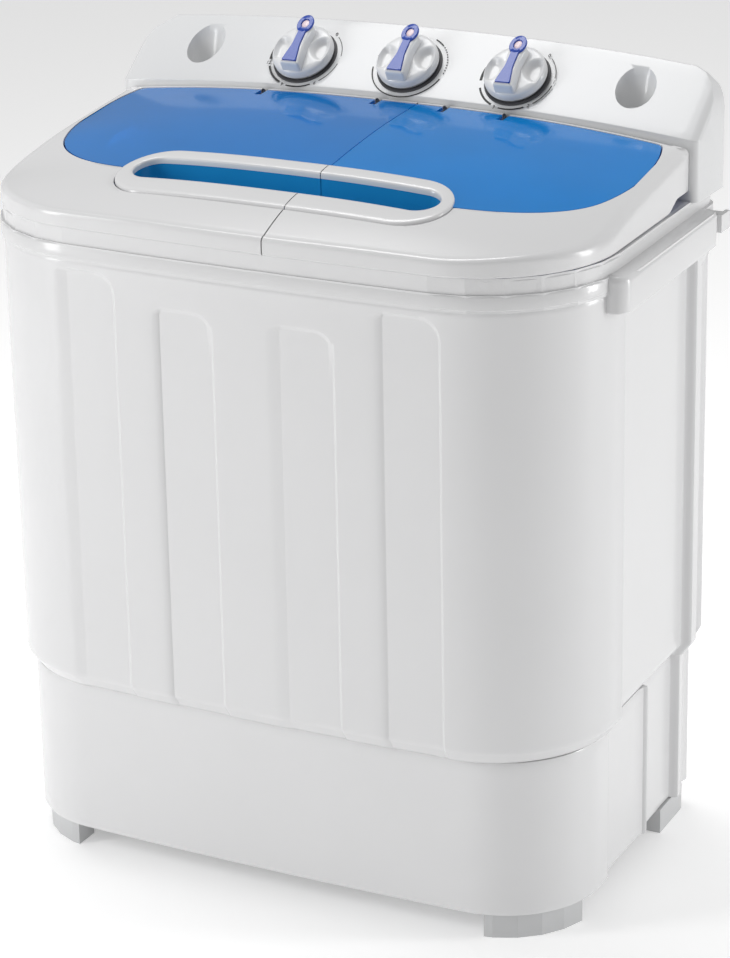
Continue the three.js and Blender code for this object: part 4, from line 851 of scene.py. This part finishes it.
def bowl_loop():
    inner = evenly(racetrack(*GRIP_IN), TRACK_POINTS)
    rows = [
        (0.6, -1.5),
        (0.6, -BOWL_DROP + 6),
        (-0.3, -BOWL_DROP + 2),
        (-2.5, -BOWL_DROP),
        (-9, -BOWL_DROP - 0.3),
        (None, -BOWL_DROP - 0.4),
    ]
    rows += [
        (None, -BOWL_DROP - 2.6),
        (-9, -BOWL_DROP - 2.5),
        (-1, -BOWL_DROP - 2.2),
        (1.5, -BOWL_DROP + 4),
        (2.6, -BOWL_DROP + 8),
        (2.6, -1.5),
    ]
    middle = (GRIP_IN[1] + GRIP_IN[2]) / 2
    count = len(inner)
    flat = lid_height(0, middle)

    def place(i, j):
        x, y = inner[i]
        out, z = rows[j]
        if out is None:
            return Vector((max(-112, min(112, x)), middle, flat + z))
        a, b = Vector(inner[i - 1]), Vector(inner[(i + 1) % count])
        way = (b - a).normalized()
        px, py = x + way.y * out, y - way.x * out
        top = lid_height(px, py) if z > -5 else flat - (0.018 * abs(px)) ** 2
        return Vector((px, py, top + z))

    return warped(count, len(rows), place)


for word, left, gap in (("wash", True, -0.35), ("spin", False, 0.35)):
    bm = warped(len(EDGE), 2 * PANE_ROWS + 2, pane_point)
    pane = finish_mesh(
        bm,
        word + "_lid_pane",
        word + "_lid",
        PANE if left else PANE_LIT,
        (word + "_lid_window",),
    )
    hole = racetrack(GRIP_OUT[0] - 2.5, GRIP_OUT[1] + 2.5, GRIP_OUT[2] - 2.5)
    heights = (500.0, 640.0)
    tunnel = warped(len(hole), 4, lambda i, j: Vector((
        *(hole[i] if j in (1, 2) else (0, -88)),
        heights[j > 1],
    )), closed_v=False)
    edge = SPLIT_X + gap
    spans = ((edge, 600) if left else (-600, edge))
    beyond = slab_cutter((spans[0], -300, 400), (spans[1], 300, 700))
    carved(pane, [cutter_from(tunnel), beyond] + post_slots(left))
    ring = keep_side(grip_sweep(RING_RISE), SPLIT_X + gap, left)
    finish_mesh(ring, word + "_lid_ring", word + "_lid", WHITE, (word + "_lid_grip",))
    finish_mesh(
        keep_side(bowl_loop(), SPLIT_X + gap, left),
        word + "_lid_bowl",
        word + "_lid",
        BOWL,
    )


# ---------------------------------------------------------------- console
def console_crown(x, y):
    t = min(1.0, max(0.0, (y - CONSOLE_FRONT) / 56))
    return CONSOLE_CROWN * (abs(x) / BODY_HALF) ** 2.2 * (1 - 0.45 * t)


def panel_height(x, y):
    return PANEL_FOOT + (y - CONSOLE_FRONT) * math.tan(TILT) - console_crown(x, y)


CREST = [(0, 645.3), (90, 645.0), (190, 639.5), (228, 633.5), (246, 624.5), (256, 612), (258, 600)]
CONSOLE_HALF = 257.5


def console_section(x, inset):
    """Points of the console's side view at x, drawn in by an inset towards its ends."""
    y0, y1 = CONSOLE_FRONT + inset, BACK + 0.3 - inset
    low = FRAME_TOP - 1
    crest = curve(CREST, abs(x)) - inset
    lean = math.tan(TILT)
    foot = panel_height(x, y0) - inset
    y_top = min(y0 + (crest - foot) / lean, y1 - 5)
    z_top = foot + (y_top - y0) * lean
    corners = [
        (y0, low, 0),
        (y1, low, 0),
        (y1, z_top - 2.5, 3),
        (y_top + 1.2, z_top + 0.6, 2.2),
        (y0, foot, 1.2),
    ]
    outline = rounded(corners, 5)
    slope = outline[-6]
    filled = []
    for k, point in enumerate(outline):
        filled.append(point)
        if point == outline[len(outline) - 7]:
            filled += [lerp(point, slope, n / 8) for n in range(1, 8)]
    return filled


END_ROUND = 7.0
console_xs = [
    (x, 0.0) for x in [
        CONSOLE_HALF - END_ROUND - 8.8 * k for k in range(int(2 * (CONSOLE_HALF - END_ROUND) / 8.8) + 1)
    ]
]
console_xs[-1] = (END_ROUND - CONSOLE_HALF, 0.0)
for k in range(1, 7):
    turn = math.pi / 2 * k / 6
    step = (CONSOLE_HALF - END_ROUND * (1 - math.sin(turn)), END_ROUND * (1 - math.cos(turn)))
    console_xs.insert(0, step)
    console_xs.append((-step[0], step[1]))
sections = [console_section(x, inset) for x, inset in console_xs]


def console_point(i, j):
    if j in (0, len(sections) + 1):
        return Vector((console_xs[0 if j == 0 else -1][0], (CONSOLE_FRONT + BACK) / 2 + 10, 570))
    y, z = sections[j - 1][i]
    return Vector((console_xs[j - 1][0], y, z))


bm = warped(len(sections[0]), len(sections) + 2, console_point, closed_v=False)
console = finish_mesh(
    bm,
    "console_skin",
    "cabinet",
    CONSOLE,
    ("console_cover",),
    sharp=50,
)


def panel_matrix(x):
    place = Vector((x, KNOB_Y, panel_height(x, KNOB_Y)))
    return Matrix.Translation(place) @ Matrix.Rotation(TILT, 4, "X")


funnels = []
for side in (-1, 1):
    x = side * INLET_X
    lip = panel_height(x, INLET_Y)
    profile = [
        (0, lip - 24),
        (9.5, lip - 24),
        (11.5, lip - 20),
        (14.5, lip - 8),
        (17.5, lip + 6),
        (26, lip + 40),
        (0, lip + 40),
    ]
    place = Matrix.Translation((x, INLET_Y, 0))
    funnels.append(cutter_from(lathe(profile, 64, lambda p: place @ p)))
carved(console, funnels)
console.data.materials.clear()
console.data.materials.append(CONSOLE)
for polygon in console.data.polygons:
    polygon.use_smooth = True
console.data.set_sharp_from_angle(angle=math.radians(40))

for side, word in ((-1, "wash"), (1, "spin")):
    x = side * INLET_X
    lip = panel_height(x, INLET_Y)
    place = Matrix.Translation((x, INLET_Y, 0))
    profile = [
        (3.6, lip - 26),
        (7.4, lip - 26),
        (7.4, lip - 17),
        (6.8, lip - 16.2),
        (4.6, lip - 16.2),
        (4.2, lip - 17),
    ]
    finish_mesh(
        lathe(profile, 40, lambda p: place @ p),
        "inlet_nozzle_" + word,
        "cabinet",
        GREY,
        ("inlet_cup_" + word,),
    )


# ---------------------------------------------------------------- knobs and dials
def flat_arc(matrix, radius, width, start, end, low=0.1, high=0.35):
    """A printed arc from start to end degrees, clockwise from straight up the panel."""
    steps = max(3, int(abs(end - start) / 3))
    loop = [(-1, low), (1, low), (1, high), (-1, high)]

    def place(i, j):
        angle = math.radians(90 - (start + (end - start) * i / (steps - 1)))
        out, h = loop[j]
        r = radius + out * width / 2
        return matrix @ Vector((r * math.cos(angle), r * math.sin(angle), h))

    bm = warped(steps, 4, place, closed_u=False)
    bmesh.ops.holes_fill(bm, edges=[e for e in bm.edges if e.is_boundary], sides=0)
    return bm


def figure(text, matrix, size):
    """A printed figure as a thin mesh in the panel's plane."""
    data = bpy.data.curves.new("figure", "FONT")
    data.body = text
    data.size = size
    data.align_x = "CENTER"
    data.align_y = "CENTER"
    data.extrude = 0.12
    maker = bpy.data.objects.new("figure", data)
    bpy.context.scene.collection.objects.link(maker)
    bpy.context.view_layer.update()
    mesh = bpy.data.meshes.new_from_object(maker)
    bm = bmesh.new()
    bm.from_mesh(mesh)
    bmesh.ops.transform(bm, matrix=matrix, verts=bm.verts)
    bpy.data.objects.remove(maker)
    bpy.data.curves.remove(data)
    bpy.data.meshes.remove(mesh)
    return bm


DIAL_R = 31.6
SCALE_START, SCALE_END = 36.0, 306.0
FIGURE_SIZE = 4.6
ARC_WIDTHS = (0.6, 0.8, 1.1, 1.7, 2.3)


def timer_dial(matrix, figures):
    span = (SCALE_END - SCALE_START) / 5
    parts = []
    for k, width in enumerate(ARC_WIDTHS):
        start = SCALE_START + k * span
        parts.append(flat_arc(matrix, DIAL_R - width / 2, width, start + 7, start + span - 7))
    for k, text in enumerate(figures):
        angle = math.radians(90 - (SCALE_START + k * span))
        spot = Matrix.Translation((DIAL_R * math.cos(angle), DIAL_R * math.sin(angle), 0.2))
        parts.append(figure(text, matrix @ spot, FIGURE_SIZE))
    return parts


def selector_dial(matrix):
    parts = [
        flat_arc(matrix, DIAL_R, 0.9, 108, 262),
        flat_arc(matrix, DIAL_R, 0.9, 282, 338),
        flat_arc(matrix, DIAL_R, 0.9, 24, 42),
    ]
    parts += [flat_arc(matrix, DIAL_R, 1.0, a, a + 1.6) for a in range(46, 98, 5)]
    return parts


def knob_profile():
    return [(0, 3.2), (24.8, 3.2), (25.6, 3.8), (25.7, 7.4), (25.3, 9.2), (24.3, 10.4), (22.6, 11.2)] + [
        (22.6 * (1 - k / 14), 11.4 + 0.9 * math.sin(math.pi * k / 28)) for k in range(1, 15)
    ]


def scooped(point):
    """Finger scoops on both sides of the grip bar."""
    if point.z < 10:
        return point
    for side in (-1, 1):
        away = math.hypot(point.x - side * 20.0, point.y - side * 1.5)
        rim = math.hypot(point.x, point.y)
        point.z -= 4.6 * (1 - smooth(7.0, 12.5, away)) * (1 - smooth(21.5, 24.5, rim))
    return point


def bar_mesh(matrix):
    """The raised grip bar: broad and square at the tail, slim at the head, with drafted flanks."""
    outline = rounded(
        [
            (-8.2, -22.5, 1.6),
            (8.2, -22.5, 1.6),
            (5.6, 2, 30),
            (7.6, 21, 7.4),
            (-7.6, 21, 7.4),
            (-5.6, 2, 30),
        ],
        8,
    )
    loop = [(1.2, 8.0), (0.8, 13.0), (0.4, 17.4), (-0.1, 18.9), (-0.9, 19.6), (-2.0, 19.8)]
    count = len(outline)

    def place(i, j):
        if j in (0, len(loop) + 1):
            return matrix @ Vector((0, outline[i][1] * 0.8, 8.0 if j == 0 else 19.8))
        x, y = outline[i]
        out, h = loop[j - 1]
        a, b = Vector(outline[i - 1]), Vector(outline[(i + 1) % count])
        way = (b - a).normalized()
        return matrix @ Vector((x + way.y * out, y - way.x * out, h))

    return warped(count, len(loop) + 2, place, closed_v=False)


def pointer_mesh(matrix):
    """Blue inlay: flared tail, slim neck and an oval head with a hole."""
    tail = rounded(
        [
            (-6.6, -20.5, 0.8),
            (6.6, -20.5, 0.8),
            (3.4, -4, 18),
            (3.3, 13, 2),
            (-3.3, 13, 2),
            (-3.4, -4, 18),
        ],
        8,
    )
    count = len(tail)
    levels = [(None, 19.6), (0, 19.6), (0, 20.9), (-0.4, 21.3), (None, 21.3)]

    def place(i, j):
        inset, h = levels[j]
        x, y = tail[i]
        if inset is None:
            return matrix @ Vector((0, y * 0.9, h))
        return matrix @ Vector((x * (1 + inset / 6), y, h))

    head = [(3.5, 19.6), (7.6, 19.6), (7.6, 20.9), (7.0, 21.4), (4.0, 21.4), (3.5, 20.9)]

    def oval(p):
        return matrix @ Vector((p.x * 0.92, 17.5 + p.y * 1.18, p.z))

    return joined([warped(count, len(levels), place, closed_v=False), lathe(head, 48, oval)])


def eye_mesh(matrix):
    profile = [(0, 19.4), (3.5, 19.4), (3.5, 20.3), (2.8, 20.6), (0, 20.7)]
    return lathe(profile, 32, lambda p: matrix @ Vector((p.x * 0.92, 17.5 + p.y * 1.18, p.z)))


CONTROLS = (
    ("wash", -KNOB_PITCH, "wash_timer_knob"),
    ("selector", 0.0, "selector_dial"),
    ("spin", KNOB_PITCH, "spin_timer_knob"),
)
for word, x, body in CONTROLS:
    matrix = panel_matrix(x)
    cap = lathe(knob_profile(), 96, lambda p: matrix @ scooped(p))
    finish_mesh(cap, word + "_knob_cap", body, KNOB, (word + "_knob",))
    finish_mesh(bar_mesh(matrix), word + "_knob_bar", body, KNOB)
    finish_mesh(
        pointer_mesh(matrix),
        word + "_knob_pointer",
        body,
        POINTER,
        (word + "_pointer",),
    )
    finish_mesh(eye_mesh(matrix), word + "_knob_eye", body, EYE)
    # A thin flat ring just wider than the knob cap, in the near-black SHADOW material: painted shadow
    # round the foot of each knob, not a real part
    gap = [(24.0, 0.05), (27.4, 0.05), (27.4, 0.4), (26.8, 0.9), (26.2, 1.0), (24.0, 1.0)]
    finish_mesh(
        lathe(gap, 96, lambda p: matrix @ p),
        word + "_dial_painted_shadow",
        "cabinet",
        SHADOW,
    )
    if word == "selector":
        print_parts = selector_dial(matrix)
    else:
        figures = ("0", "3", "6", "9", "12", "15") if word == "wash" else ("0", "1", "2", "3", "4", "5")
        print_parts = timer_dial(matrix, figures)
    finish_mesh(joined(print_parts), word + "_dial_print", "cabinet", INK)

# ---------------------------------------------------------------- floor, lights and camera
bm = bmesh.new()
bmesh.ops.create_grid(bm, x_segments=1, y_segments=1, size=12)
mesh = bpy.data.meshes.new("floor")
bm.to_mesh(mesh)
bm.free()
floor = bpy.data.objects.new("floor", mesh)
bpy.context.scene.collection.objects.link(floor)
floor_look = bpy.data.materials.new("floor")
floor_look.use_nodes = True
floor_look.node_tree.nodes["Principled BSDF"].inputs["Base Color"].default_value = (0.95, 0.95, 0.95, 1)
floor_look.node_tree.nodes["Principled BSDF"].inputs["Emission Color"].default_value = (1, 1, 1, 1)
floor_look.node_tree.nodes["Principled BSDF"].inputs["Emission Strength"].default_value = 0.3
floor_look.node_tree.nodes["Principled BSDF"].inputs["Roughness"].default_value = 0.6
mesh.materials.append(floor_look)

world = bpy.data.worlds.new("studio")
world.use_nodes = True
world.node_tree.nodes["Background"].inputs["Color"].default_value = (1, 1, 1, 1)
world.node_tree.nodes["Background"].inputs["Strength"].default_value = 0.42
bpy.context.scene.world = world


def soft_light(name, place, target, power, width, height):
    data = bpy.data.lights.new(name, "AREA")
    data.shape = "RECTANGLE"
    data.size, data.size_y = width, height
    data.energy = power
    light = bpy.data.objects.new(name, data)
    light.location = place
    light.rotation_euler = (Vector(target) - Vector(place)).to_track_quat("-Z", "Y").to_euler()
    bpy.context.scene.collection.objects.link(light)


soft_light("left_box", (-1.5, -1.5, 0.9), (-0.2, 0, 0.35), 17, 0.5, 1.4)
soft_light("right_rear_box", (2.7, 1.0, 0.9), (0.1, 0, 0.3), 27, 0.5, 1.6)
soft_light("top_box", (-0.4, 0.3, 2.2), (0, 0, 0.4), 17, 1.2, 0.8)
bpy.context.scene.view_settings.view_transform = "Standard"

CAMERA_PLACE = (1.1944, -2.2151, 1.2368)
CAMERA_ANGLES = (27.983, 20.322, -1.09)  # azimuth, elevation and roll, in degrees
LENS = 125.8
azimuth, elevation, roll = (math.radians(angle) for angle in CAMERA_ANGLES)
back = Vector((
    math.sin(azimuth) * math.cos(elevation),
    -math.cos(azimuth) * math.cos(elevation),
    math.sin(elevation),
))
right = Vector((math.cos(azimuth), math.sin(azimuth), 0))
up = back.cross(right)
right, up = right * math.cos(roll) + up * math.sin(roll), up * math.cos(roll) - right * math.sin(roll)
camera_data = bpy.data.cameras.new("camera")
camera_data.lens = LENS
camera_data.clip_end = 30
camera = bpy.data.objects.new("camera", camera_data)
turn = Matrix((right, up, back)).transposed()
camera.matrix_world = Matrix.Translation(CAMERA_PLACE) @ turn.to_4x4()
bpy.context.scene.collection.objects.link(camera)
bpy.context.scene.camera = camera
